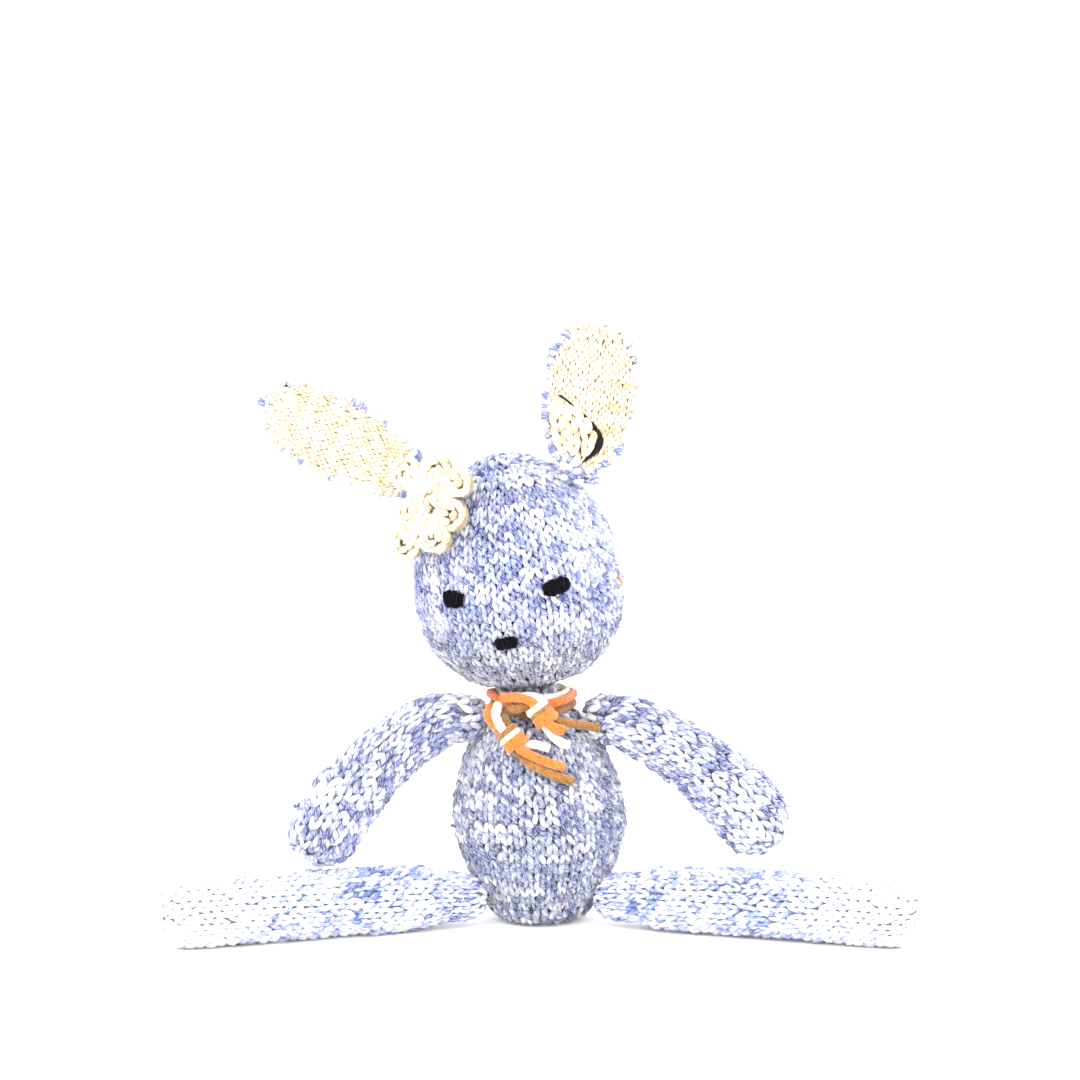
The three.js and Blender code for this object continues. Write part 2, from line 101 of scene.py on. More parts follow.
class RabbitShape(bpy.types.PropertyGroup):
    """Main sizes of the stuffed shapes, equal to those of the frame."""
    belly_radius: size_property("Belly radius", "Widest part of the body", 33)
    head_radius: size_property("Head radius", "Half the head's width", 40.6)
    head_depth: size_property("Head depth", "Half the head's depth", 38)
    crown_rise: size_property("Crown rise", "Widest ring of the head to its top", 53)
    chin_drop: size_property("Chin drop", "Widest ring of the head to the chin", 38)
    hand_radius: size_property("Hand radius", "Radius of an arm's end", 14)
    foot_radius: size_property("Foot radius", "Radius of a leg's end", 13.6)


class RabbitColours(bpy.types.PropertyGroup):
    """Shades of the wools and felts."""
    navy: colour_property("Navy", "Darkest fleck of the blue yarn", "293b80")
    royal: colour_property("Royal blue", "Strong blue of the yarn", "5469a6")
    cornflower: colour_property("Cornflower", "Middle blue of the yarn", "8c97bb")
    lavender: colour_property("Lavender grey", "Pale ply of the yarn", "b1b4c4")
    fleck: colour_property("White fleck", "Undyed wool in the yarn", "dfdcd9")
    lilac: colour_property("Lilac", "Violet blue of the ears", "6268b4")
    cream: colour_property("Cream", "Wool of the linings and the flower", "dfcfb4")
    tan: colour_property("Tan", "Shaded wool of the linings and the flower", "b49b7a")
    # Gap is painted shadow: the near-black slit where an ear lining's lip shades its tucked side
    gap: colour_property("Gap", "Deep gaps between the fabrics", "14130f")
    black: colour_property("Black", "Embroidery yarn", "010102")
    orange: colour_property("Orange", "Orange felt strand", "d66a20")
    felt: colour_property("Cream felt", "Cream felt strand", "efe0cc")
    brown: colour_property("Brown", "Olive-brown felt strand", "8a5c22")
    fill: colour_property("Fibrefill", "Stuffing", "efece6")
    floor: colour_property("Floor", "Pale studio floor", "f6f6f6")


def gauge():
    return bpy.context.scene.rabbit_gauge


def shape():
    return bpy.context.scene.rabbit_shape


def shade(name):
    return np.array(getattr(bpy.context.scene.rabbit_colours, name))


# ------------------------------------------------------------------ numbers
def unit(a):
    return a / np.maximum(np.linalg.norm(a, axis=-1, keepdims=True), 1e-9)


def smooth(x, low, high):
    t = np.clip((np.asarray(x, float) - low) / (high - low), 0, 1)
    return t * t * (3 - 2 * t)


def curve(points, steps):
    """Even steps along a smooth line through the points."""
    p = np.array(points, float)
    p = np.vstack([2 * p[0] - p[1], p, 2 * p[-1] - p[-2]])
    fine = []
    for a, b, c, d in zip(p, p[1:], p[2:], p[3:]):
        k = [0.0]
        for here, there in ((a, b), (b, c), (c, d)):
            k.append(k[-1] + max(np.linalg.norm(there - here), 1e-9) ** 0.5)
        t = np.linspace(k[1], k[2], 24, endpoint=False)[:, None]
        ab = ((k[1] - t) * a + (t - k[0]) * b) / (k[1] - k[0])
        bc = ((k[2] - t) * b + (t - k[1]) * c) / (k[2] - k[1])
        cd = ((k[3] - t) * c + (t - k[2]) * d) / (k[3] - k[2])
        abc = ((k[2] - t) * ab + (t - k[0]) * bc) / (k[2] - k[0])
        bcd = ((k[3] - t) * bc + (t - k[1]) * cd) / (k[3] - k[1])
        fine.append(((k[2] - t) * abc + (t - k[1]) * bcd) / (k[2] - k[1]))
    return even(np.vstack(fine + [p[-2:-1]]), steps)


def even(line, steps):
    """The same line in steps of equal length."""
    walked = np.concatenate([[0], np.cumsum(np.linalg.norm(np.diff(line, axis=0), axis=1))])
    at = np.linspace(0, walked[-1], steps + 1)
    return np.stack([np.interp(at, walked, line[:, i]) for i in range(line.shape[1])], 1)


def long(line):
    return float(np.linalg.norm(np.diff(line, axis=0), axis=1).sum())


def turns(count, start=0.0):
    """Even angles once round."""
    return np.arange(count) / count * 2 * math.pi + start


def steps_along(line, steps):
    """Places on a line of points, at numbers of steps along it."""
    return np.stack([np.interp(steps, np.arange(len(line)), line[:, c]) for c in range(line.shape[1])], 1)


LATTICE = np.random.RandomState(7).rand(16, 16, 16)


def wander(points, scale, seed=0.0):
    """Smooth noise from 0 to 1 at points in mm; scale is the size of its lumps."""
    q = np.asarray(points, float) / scale + seed * 3.7
    low = np.floor(q).astype(int)
    f = q - low
    f = f * f * (3 - 2 * f)
    total = 0
    for corner in range(8):
        step = np.array([corner & 1, corner >> 1 & 1, corner >> 2 & 1])
        weight = np.prod(np.where(step, f, 1 - f), axis=-1)
        i = (low + step) % 16
        total = total + weight * LATTICE[i[..., 0], i[..., 1], i[..., 2]]
    return total


# ------------------------------------------------------------------ meshes
class Wool:
    """Gathers yarn and fabric into one mesh: points in mm, faces, two ply colours and yarn coordinates."""

    def __init__(self):
        self.points, self.plies = [], []
        self.corners, self.counts, self.uvs, self.finish = [], [], [], []
        self.size = 0

    def add(self, points, faces, uvs, ply_a, ply_b, finish=0):
        """New points, with their two ply colours, and faces on them. Returns the first point's number."""
        assert len(points) == len(ply_a) == len(ply_b)
        start = self.size
        self.points.append(points)
        self.plies.append(np.stack([ply_a, ply_b], 1))
        self.size += len(points)
        self.add_faces(faces, uvs, start, finish)
        return start

    def add_faces(self, faces, uvs, start, finish=0):
        """faces has one face per row, counted from the point start; uvs has one pair per face corner."""
        self.corners.append((faces + start).ravel())
        self.counts.append(np.full(len(faces), faces.shape[1]))
        self.finish.append(np.full(len(faces), finish))
        self.uvs.append(uvs.reshape(-1, 2))

    def piece(self, name, materials):
        mesh = bpy.data.meshes.new(name)
        points = np.vstack(self.points) * MM
        corners = np.concatenate(self.corners)
        counts = np.concatenate(self.counts)
        mesh.vertices.add(len(points))
        mesh.vertices.foreach_set("co", points.ravel())
        mesh.loops.add(len(corners))
        mesh.loops.foreach_set("vertex_index", corners.astype(np.int32))
        mesh.polygons.add(len(counts))
        starts = np.concatenate([[0], np.cumsum(counts)[:-1]])
        mesh.polygons.foreach_set("loop_start", starts.astype(np.int32))
        mesh.update(calc_edges=True)
        mesh.polygons.foreach_set("material_index", np.concatenate(self.finish).astype(np.int32))
        mesh.polygons.foreach_set("use_smooth", np.ones(len(counts), bool))
        layer = mesh.uv_layers.new(name="yarn")
        layer.uv.foreach_set("vector", np.vstack(self.uvs).ravel())
        plies = np.vstack(self.plies)
        for i, label in enumerate(("ply_a", "ply_b")):
            attribute = mesh.color_attributes.new(label, "FLOAT_COLOR", "POINT")
            rgba = np.ones((len(plies), 4))
            rgba[:, :3] = plies[:, i]
            attribute.data.foreach_set("color", rgba.ravel())
        mesh.validate()
        piece = bpy.data.objects.new(name, mesh)
        bpy.context.collection.objects.link(piece)
        for material in materials:
            mesh.materials.append(material)
        return piece


def modelled_loop():
    """The side of one stitch, modelled once: a short plump grain of yarn."""
    bpy.ops.object.select_all(action="DESELECT")
    bpy.ops.mesh.primitive_uv_sphere_add(segments=6, ring_count=5, radius=1, calc_uvs=True)
    grain = bpy.context.object
    mesh = grain.data
    points = np.array([v.co for v in mesh.vertices])
    sides = {}
    uv = mesh.uv_layers.active.uv
    for face in mesh.polygons:
        corners = list(face.vertices)
        places = [tuple(uv[i].vector) for i in face.loop_indices]
        sides.setdefault(len(corners), []).append((corners, places))
    bpy.data.objects.remove(grain, do_unlink=True)
    faces = [(np.array([c for c, _ in group]), np.array([t for _, t in group]))
             for group in sides.values()]
    z = points[:, 2]
    heights = np.unique(np.round(z, 4))
    ring = np.array([np.abs(heights - h).argmin() for h in z])
    return {"ring": ring, "along": (heights + 1) / 2, "cross": points[:, :2], "faces": faces}


def lay_grains(wool, grain, centres, ups, radius, ply_a, ply_b, phase=None):
    """Lays one grain of yarn along each row of centres, which has a place for each ring of the grain."""
    flatten = 0.9
    count, rings = centres.shape[:2]
    along = unit(np.gradient(centres, axis=1))
    beside = unit(np.cross(ups, along))
    over = np.cross(along, beside)
    ring, cross = grain["ring"], grain["cross"]
    reach = radius[:, None] * np.ones(rings)
    sideways = (cross[:, 0] * reach[:, ring])[..., None] * beside[:, ring]
    upwards = (cross[:, 1] * reach[:, ring])[..., None] * over[:, ring] * flatten
    points = centres[:, ring] + sideways + upwards
    per = len(ring)
    lengths = np.linalg.norm(np.diff(centres, axis=1), axis=2).sum(1)
    if phase is None:
        phase = np.arange(count) * 0.618
    shift = np.arange(count)[:, None, None] * per
    start = None
    for faces, uvs in grain["faces"]:
        every = (faces[None] + shift).reshape(-1, faces.shape[1])
        uv = np.repeat(uvs[None], count, 0)
        uv[..., 1] = uv[..., 1] * (lengths / YARN_REPEAT)[:, None, None] + phase[:, None, None] % 1
        if start is None:
            start = wool.add(points.reshape(-1, 3), every, uv, np.repeat(ply_a, per, 0),
                             np.repeat(ply_b, per, 0))
        else:
            wool.add_faces(every, uv, start)


def lay_strand(wool, line, radius, ply_a, ply_b, sides=8, finish=0, up=(0, 0, 1)):
    """A long yarn as a closed tube with blunt ends. radius is one number or one for each point."""
    blunt, end_width = 0.5, 0.8
    line = np.asarray(line, float)
    count = len(line)
    radius = np.broadcast_to(np.asarray(radius, float), (count,)).copy()
    along = unit(np.gradient(line, axis=0))
    beside = np.cross(up, along[0])
    if np.linalg.norm(beside) < 1e-3:
        beside = np.cross((0.3, 1, 0), along[0])
    frames = []
    for way in along:
        beside = unit(beside - way * np.dot(beside, way))
        frames.append((beside, np.cross(way, beside)))
    first = line[0] - along[0] * radius[0] * blunt
    last = line[-1] + along[-1] * radius[-1] * blunt
    radius[0] *= end_width
    radius[-1] *= end_width
    turn = turns(sides)
    rings = np.stack([c + r * (np.cos(turn)[:, None] * b + np.sin(turn)[:, None] * o)
                      for c, r, (b, o) in zip(line, radius, frames)])
    points = np.vstack([rings.reshape(-1, 3), first, last])
    i, k = np.meshgrid(np.arange(count - 1), np.arange(sides), indexing="ij")
    i, k = i.ravel(), k.ravel()
    n = (k + 1) % sides
    quads = np.stack([i * sides + k, i * sides + n, (i + 1) * sides + n, (i + 1) * sides + k], 1)
    walked = np.concatenate([[0], np.cumsum(np.linalg.norm(np.diff(line, axis=0), axis=1))])
    walked = walked / YARN_REPEAT
    u, w = k / sides, (k + 1) / sides
    uv = np.stack([np.stack([u, walked[i]], 1), np.stack([w, walked[i]], 1),
                   np.stack([w, walked[i + 1]], 1), np.stack([u, walked[i + 1]], 1)], 1)
    k = np.arange(sides)
    n = (k + 1) % sides
    low = np.stack([n, k, np.full(sides, count * sides)], 1)
    top = (count - 1) * sides
    high = np.stack([top + k, top + n, np.full(sides, count * sides + 1)], 1)
    caps = np.vstack([low, high])
    cap_uv = np.zeros((len(caps), 3, 2))
    cap_uv[..., 0] = np.concatenate([k, k])[:, None] / sides
    cap_uv[:sides, :, 1] = walked[0]
    cap_uv[sides:, :, 1] = walked[-1]
    plies = [np.broadcast_to(np.asarray(p, float), (count, 3)) for p in (ply_a, ply_b)]
    plies = [np.vstack([np.repeat(p, sides, 0), p[:1], p[-1:]]) for p in plies]
    start = wool.add(points, quads, uv, plies[0], plies[1], finish)
    wool.add_faces(caps, cap_uv, start, finish)


# ------------------------------------------------------------------ fabric
class Fabric:
    """A grid of places on a stuffed form, with the way out of it; columns run round, rows run along."""

    def __init__(self, grid, wraps=True, outwards=1):
        self.grid, self.wraps = grid, wraps
        around = np.roll(grid, -1, 1) - np.roll(grid, 1, 1) if wraps else np.gradient(grid, axis=1)
        onward = np.gradient(grid, axis=0)
        if wraps:
            for pole, near in ((0, 1), (-1, -2)):
                if np.linalg.norm(grid[pole] - grid[pole, 0], axis=1).max() < 1e-6:
                    around[pole] = around[near]
        out = unit(np.cross(around, onward)) * outwards
        if wraps:
            for pole in (0, -1):
                if np.linalg.norm(grid[pole] - grid[pole, 0], axis=1).max() < 1e-6:
                    out[pole] = unit(out[pole].mean(0))
        self.out = out
        nearby = np.roll(grid, -1, 1) - grid if wraps else np.diff(grid, axis=1)
        self.girth = np.linalg.norm(nearby, axis=2).sum(1)
        self.length = np.linalg.norm(np.diff(grid, axis=0), axis=2).sum(0).mean()

    def at(self, u, v):
        """Place and way out at shares round and along."""
        rows, columns = self.grid.shape[0] - 1, self.grid.shape[1]
        y = np.clip(v, 0, 1) * rows
        j = np.minimum(y.astype(int), rows - 1)
        g = (y - j)[..., None]
        if self.wraps:
            x = (u % 1) * columns
            i = x.astype(int) % columns
            n = (i + 1) % columns
            f = (x - np.floor(x))[..., None]
        else:
            x = np.clip(u, 0, 1) * (columns - 1)
            i = np.minimum(x.astype(int), columns - 2)
            n = i + 1
            f = (x - i)[..., None]
        mixed = []
        for field in (self.grid, self.out):
            low = field[j, i] * (1 - f) + field[j, n] * f
            high = field[j + 1, i] * (1 - f) + field[j + 1, n] * f
            mixed.append(low * (1 - g) + high * g)
        return mixed[0], unit(mixed[1])

    def girth_at(self, v):
        return np.interp(v, np.linspace(0, 1, len(self.girth)), self.girth)


def facing(grid, way):
    """An open fabric whose way out is turned towards a direction."""
    fabric = Fabric(grid, wraps=False)
    if np.dot(fabric.out.reshape(-1, 3).mean(0), way) < 0:
        fabric = Fabric(grid, wraps=False, outwards=-1)
    return fabric


def grid_faces(rows, columns, wraps):
    j, i = np.meshgrid(np.arange(rows), np.arange(columns if wraps else columns - 1), indexing="ij")
    j, i = j.ravel(), i.ravel()
    n = (i + 1) % columns
    return np.stack([j * columns + i, j * columns + n, (j + 1) * columns + n, (j + 1) * columns + i], 1)


def closed_form(fabric):
    """Points and faces of a wrapped grid whose ends are closed to a point."""
    rings, columns = fabric.grid.shape[:2]
    inner = fabric.grid[1:-1]
    points = np.vstack([inner.reshape(-1, 3), fabric.grid[0, :1], fabric.grid[-1, :1]])
    quads = grid_faces(rings - 3, columns, True)
    k = np.arange(columns)
    n = (k + 1) % columns
    foot, tip = len(points) - 2, len(points) - 1
    top = (rings - 3) * columns
    caps = np.vstack([np.stack([n, k, np.full(columns, foot)], 1),
                      np.stack([top + k, top + n, np.full(columns, tip)], 1)])
    return points, quads, caps


def stuffed(fabric, cap, lumps, seed):
    """Blows the form up from inside as cloth, keeps each point within cap of its place, adds soft lumps."""
    lump_size = 17
    grid = fabric.grid.copy()
    points, quads, caps = closed_form(fabric)
    mesh = bpy.data.meshes.new("stuffing_trial")
    mesh.from_pydata((points * MM).tolist(), [], quads.tolist() + caps.tolist())
    pad = bpy.data.objects.new("stuffing_trial", mesh)
    bpy.context.collection.objects.link(pad)
    cloth = pad.modifiers.new("cloth", "CLOTH")
    cloth.settings.use_pressure = True
    cloth.settings.uniform_pressure_force = PRESSURE
    cloth.settings.effector_weights.gravity = 0
    cloth.settings.mass = 0.3
    cloth.settings.quality = 5
    cloth.point_cache.frame_start = 1
    cloth.point_cache.frame_end = SETTLE_FRAMES
    scene = bpy.context.scene
    for step in range(1, SETTLE_FRAMES + 1):
        scene.frame_set(step)
        bpy.context.view_layer.update()
    settled = pad.evaluated_get(bpy.context.evaluated_depsgraph_get()).to_mesh()
    moved = np.array([v.co for v in settled.vertices]) / MM - points
    scene.frame_set(1)
    bpy.data.objects.remove(pad, do_unlink=True)
    bpy.data.meshes.remove(mesh)
    moved = np.nan_to_num(moved)
    moved -= moved.mean(0)
    far = np.linalg.norm(moved, axis=1, keepdims=True)
    moved *= np.minimum(1, cap / np.maximum(far, 1e-9))
    grid[1:-1] += moved[:-2].reshape(grid[1:-1].shape)
    grid[0] += moved[-2]
    grid[-1] += moved[-1]
    grid += fabric.out * ((wander(grid, lump_size, seed) - 0.5) * 2 * lumps)[..., None]
    return Fabric(grid, fabric.wraps)


def on_ladder(t, rungs, ladder):
    """Colours between the shades of a ladder, whose rungs stand at shares from 0 to 1."""
    return np.stack([np.interp(t, rungs, ladder[:, c]) for c in range(3)], -1)


def blue_yarn(places, paleness, strand_at, seed, grey=0.0, bright=1.0):
    """Two ply colours for each stitch: slubs of navy, blue, lavender and white along the yarn."""
    ladder = np.array([shade(n) for n in ("navy", "royal", "cornflower", "lavender", "fleck")])
    rungs = np.array([0, 0.25, 0.5, 0.75, 1.0])
    plies = []
    for k in (0, 1):
        line = np.stack([strand_at, np.full_like(strand_at, 9.1 * k + seed), strand_at * 0.013], -1)
        t = 0.52 * wander(line, 0.7, seed + k) + 0.18 * wander(line, 2.2, seed + 5 + k)
        t = t + 0.17 * wander(places, 11, seed + 2) + 0.13 * wander(places, 3.2, seed + 3 + k)
        t = np.clip(0.54 + (t - 0.5) * 3.2 + paleness + (0.07 if k else -0.07), 0, 1)
        colour = on_ladder(t, rungs, ladder)
        tone = colour.mean(-1, keepdims=True) * np.array([0.97, 0.97, 1.08])
        plies.append(np.clip((colour * (1 - grey) + tone * grey) * bright, 0, BRIGHTEST))
    return plies


def plain_yarn(strand_at, seed, ladder, rungs, apart, slub, middle, spread, step=0.0):
    """Two ply colours for each stitch: slubs that wander up and down a ladder of shades."""
    plies = []
    for k in (0, 1):
        line = np.stack([strand_at, np.full_like(strand_at, apart * k + seed), strand_at * 0.02], -1)
        t = np.clip(middle + (wander(line, slub, seed + k) - 0.5) * spread + step * k, 0, 1)
        plies.append(on_ladder(t, rungs, ladder))
    return plies


def cream_yarn(strand_at, seed):
    ladder = np.array([shade("tan") * 0.9, shade("tan"), shade("cream"), shade("cream") * 1.08])
    return plain_yarn(strand_at, seed, ladder, [0, 0.2, 0.7, 1],
                      apart=5.3, slub=2.3, middle=0.6, spread=1.5)


def lilac_yarn(strand_at, seed):
    ladder = np.array([shade("royal"), shade("lilac"), shade("lavender"), shade("fleck")])
    return plain_yarn(strand_at, seed, ladder, [0, 0.3, 0.65, 1],
                      apart=4.1, slub=2.2, middle=0.5, spread=2.2, step=0.12)


def stitches(wool, grain, fabric, columns, rows, dye, seed, tight=0.62):
    """Covers a fabric with V stitches. Where the form narrows, neighbouring columns merge into one."""
    fewest, narrowest, thickest = 4, 0.25, 0.31
    roll = np.random.RandomState(seed)
    plump = gauge().plumpness
    widest = fabric.girth.max() / columns
    lots = []
    worked = 0.0
    for row in range(rows):
        v = (row + 0.5) / rows
        girth = fabric.girth_at(v)
        count = columns
        while count > fewest and girth / count < tight * widest and count % 2 == 0:
            count //= 2
        width = girth / count
        if width < narrowest * widest:
            continue
        u = (np.arange(count) + 0.5) / count
        for side in (-1, 1):
            yarn_at = worked + np.arange(count) + 0.25 * side
            lots.append(np.stack([u, np.full(count, v), np.full(count, side), np.full(count, 0.5 / count),
                                  np.full(count, width), yarn_at], 1))
        worked += count
    lots = np.vstack(lots)
    u, v, side, half, width, yarn_at = lots.T
    s = grain["along"][None]
    pull, slip, drop = (roll.rand(3, len(lots), 1) - 0.5)
    u = u + 0.10 * half * np.sin(v * 40 + u * 50)
    us = u[:, None] + (side * half)[:, None] * (0.06 + 0.88 * s ** 0.9) * (1 + 0.2 * pull)
    us = us + half[:, None] * 0.18 * slip
    vs = v[:, None] + (-0.70 + 1.56 * s) / rows + 0.22 * drop / rows
    place, out = fabric.at(us, vs)
    slubs = wander(np.stack([yarn_at, yarn_at * 0, yarn_at * 0], -1), 2.0, seed)
    bulk = plump * width * (0.86 + 0.3 * slubs)
    bulk *= 1 + 0.24 * (roll.rand(len(lots)) - 0.5)
    bulk = np.minimum(bulk, thickest * widest)
    rise = bulk[:, None] * (1.28 * np.sin(math.pi * np.clip(s, 0, 1) ** 0.85) ** 0.7 - 0.42 * s - 0.1)
    rise = rise + bulk[:, None] * 0.35 * (roll.rand(len(lots), 1) - 0.5)
    centres = place + out * rise[..., None]
    middle = centres[:, len(grain["along"]) // 2]
    plies = dye(middle, yarn_at, v)
    phase = yarn_at * 0.37 + roll.rand(len(lots))
    lay_grains(wool, grain, centres, out, bulk, plies[0], plies[1], phase)


def lay_hairs(wool, centres, radius, tone, finish=0):
    """Loose fibres: thin three-sided spikes along rows of four places."""
    count = len(centres)
    along = unit(np.gradient(centres, axis=1))
    beside = unit(np.cross(along, np.array([0.31, 0.52, 0.79])))
    over = np.cross(along, beside)
    turn = turns(3)
    thin = np.array([1, 0.85, 0.6]) * radius
    ring = (np.cos(turn)[:, None] * beside[:, :3, None] + np.sin(turn)[:, None] * over[:, :3, None])
    points = centres[:, :3, None] + ring * thin[:, None, None]
    points = np.concatenate([points.reshape(count, 9, 3), centres[:, 3:]], 1)
    quads = np.array([[r * 3 + k, r * 3 + (k + 1) % 3, r * 3 + 3 + (k + 1) % 3, r * 3 + 3 + k]
                      for r in range(2) for k in range(3)])
    ends = np.array([[6, 7, 9], [7, 8, 9], [8, 6, 9], [2, 1, 0]])
    shift = np.arange(count)[:, None, None] * 10
    tones = np.repeat(tone if tone.ndim == 2 else np.repeat(tone[None], count, 0), 10, 0)
    every = (quads[None] + shift).reshape(-1, 4)
    start = wool.add(points.reshape(-1, 3), every, np.zeros((len(every), 4, 2)), tones, tones, finish)
    every = (ends[None] + shift).reshape(-1, 3)
    wool.add_faces(every, np.zeros((len(every), 3, 2)), start, finish)


def halo(wool, place, out, seed, tones, stand=1.6, length=(1.2, 3.4), radius=0.055, finish=0):
    """Fibres that stand loosely off places on a surface."""
    roll = np.random.RandomState(seed)
    count = len(place)
    way = unit(roll.normal(size=(count, 3)))
    way = unit(way - out * (way * out).sum(1, keepdims=True) + out * roll.uniform(0.05, 0.9, (count, 1)))
    bend = unit(roll.normal(size=(count, 3))) * 0.45
    long_by = roll.uniform(*length, (count, 1))
    t = np.array([0, 0.35, 0.7, 1.0])[None, :, None]
    start = place + out * stand * roll.uniform(0.5, 1.0, (count, 1))
    centres = (start[:, None] + way[:, None] * (t * long_by[:, None])
               + bend[:, None] * (t * t * long_by[:, None]))
    lay_hairs(wool, centres, radius, tones[roll.randint(0, len(tones), count)], finish)


def halo_on(wool, fabric, count, seed, tones):
    """The same all over a fabric, spread evenly by its girth."""
    roll = np.random.RandomState(seed)
    v = roll.rand(count * 3)
    v = v[roll.rand(count * 3) < fabric.girth_at(v) / fabric.girth.max()][:count]
    place, out = fabric.at(roll.rand(len(v)), v)
    halo(wool, place, out, seed + 1, tones)


def lay_form(wool, fabric, tone=None, tone_at=None):
    """A closed form under the yarn, in one tone or one tone for each place."""
    points, quads, caps = closed_form(fabric)
    tones = tone_at(points) if tone_at else np.repeat(np.array([tone]), len(points), 0)
    start = wool.add(points, quads, np.zeros((len(quads), 4, 2)), tones, tones)
    wool.add_faces(caps, np.zeros((len(caps), 3, 2)), start)


def ground(wool, fabric, dye):
    """The closed layer that shows between the stitches, painted dark: painted shade in the gaps, at 0.3 of
    its yarn's colour.
    """
    depth = 0.3
    share = np.repeat(np.linspace(0, 1, fabric.grid.shape[0])[1:-1], fabric.grid.shape[1])
    share = np.concatenate([share, [0, 1]])

    def tone_at(points):
        plies = dye(points, np.zeros(len(points)), share)
        # painted shade: the yarn's mean colour darkened to 0.3 stands for the shade between the stitches
        return (plies[0] + plies[1]) / 2 * depth
    lay_form(wool, fabric, tone_at=tone_at)


def rest_on_floor(wool):
    """No point goes below the floor; the lowest are pressed flat just above it."""
    level = 0.12
    for points in wool.points:
        points[:, 2] = np.where(points[:, 2] < level, level, points[:, 2])


# ------------------------------------------------------------------ materials
def new_material(name, rough, sheen):
    material = bpy.data.materials.new(name)
    material.use_nodes = True
    nodes, links = material.node_tree.nodes, material.node_tree.links
    shader = nodes["Principled BSDF"]
    shader.inputs["Roughness"].default_value = rough
    shader.inputs["Sheen Weight"].default_value = sheen
    shader.inputs["Sheen Roughness"].default_value = 0.45
    shader.inputs["Specular IOR Level"].default_value = 0.12
    return material, nodes, links, shader


def math_node(nodes, links, operation, *values):
    """A math node's result; each value is a number or another node's output."""
    node = nodes.new("ShaderNodeMath")
    node.operation = operation
    for socket, value in zip(node.inputs, values):
        if isinstance(value, (int, float)):
            socket.default_value = value
        else:
            links.new(value, socket)
    return node.outputs[0]


def noise_node(nodes, links, place, scale, detail, distortion=0.0):
    noise = nodes.new("ShaderNodeTexNoise")
    noise.inputs["Scale"].default_value = scale
    noise.inputs["Detail"].default_value = detail
    noise.inputs["Distortion"].default_value = distortion
    links.new(place, noise.inputs["Vector"])
    return noise.outputs[0]


def mix_node(nodes, links, share, first):
    """A colour mix from the first colour; the second is set or joined by the caller."""
    mix = nodes.new("ShaderNodeMix")
    mix.data_type = "RGBA"
    links.new(share, mix.inputs[0])
    links.new(first, mix.inputs[6])
    return mix


def bump_node(nodes, links, shader, height, strength, distance):
    bumped = nodes.new("ShaderNodeBump")
    bumped.inputs["Strength"].default_value = strength
    bumped.inputs["Distance"].default_value = distance
    links.new(height, bumped.inputs["Height"])
    links.new(bumped.outputs[0], shader.inputs["Normal"])


def wool_material(name, light, dark, contrast=2.2, bump=0.8, fibre=0.24, sheen=0.2, streak=0.5):
    """Two-ply yarn: each ply in its own colour, a groove between them, and loose fibres along it."""
    material, nodes, links, shader = new_material(name, 0.95, sheen)

    def calc(operation, *values):
        return math_node(nodes, links, operation, *values)
    uv = nodes.new("ShaderNodeUVMap")
    uv.uv_map = "yarn"
    parts = nodes.new("ShaderNodeSeparateXYZ")
    links.new(uv.outputs[0], parts.inputs[0])
    spun = calc("ADD", parts.outputs[0], calc("MULTIPLY", parts.outputs[1], YARN_TWIST))
    wave = calc("SINE", calc("MULTIPLY", spun, 2 * math.pi))
    ply = calc("MULTIPLY_ADD", wave, contrast / 2, 0.5)
    ply.node.use_clamp = True
    colours = []
    for label in ("ply_a", "ply_b"):
        source = nodes.new("ShaderNodeAttribute")
        source.attribute_name = label
        colours.append(source.outputs["Color"])
    mix = mix_node(nodes, links, ply, colours[0])
    links.new(colours[1], mix.inputs[7])

    # light and dark fibres along the yarn, and a fine fuzz all over
    along = nodes.new("ShaderNodeCombineXYZ")
    links.new(calc("MULTIPLY", spun, 9.0), along.inputs[0])
    links.new(calc("MULTIPLY", parts.outputs[1], 2.2), along.inputs[1])
    hair = noise_node(nodes, links, along.outputs[0], 1.6, 3)
    where = nodes.new("ShaderNodeTexCoord")
    fuzz = noise_node(nodes, links, where.outputs["Object"], 1500, 2)
    both = calc("ADD", calc("MULTIPLY", hair, 0.65), calc("MULTIPLY", fuzz, 0.35))
    streaked = mix.outputs[2]
    for colour, low, high in ((light, 0.50, 0.60), (dark, 0.48, 0.38)):
        share = nodes.new("ShaderNodeMapRange")
        share.inputs["From Min"].default_value = low
        share.inputs["From Max"].default_value = high
        share.inputs["To Max"].default_value = streak
        links.new(hair, share.inputs["Value"])
        blend = mix_node(nodes, links, share.outputs[0], streaked)
        blend.inputs[7].default_value = (*colour, 1)
        streaked = blend.outputs[2]

    # shade down in the groove between the plies
    groove = calc("ABSOLUTE", calc("SINE", calc("MULTIPLY_ADD", spun, 2 * math.pi, math.pi / 2)))
    tone = calc("MULTIPLY_ADD", both, fibre * 4, 1 - fibre * 2)
    deep = calc("MULTIPLY_ADD", calc("POWER", groove, 0.5), -0.25, 1.08)
    tint = nodes.new("ShaderNodeVectorMath")
    tint.operation = "SCALE"
    links.new(streaked, tint.inputs[0])
    links.new(calc("MULTIPLY", tone, deep), tint.inputs["Scale"])
    links.new(tint.outputs[0], shader.inputs["Base Color"])
    height = calc("SUBTRACT", calc("MULTIPLY", both, 0.8), calc("MULTIPLY", groove, 0.5))
    bump_node(nodes, links, shader, height, bump, 0.0006)
    return material


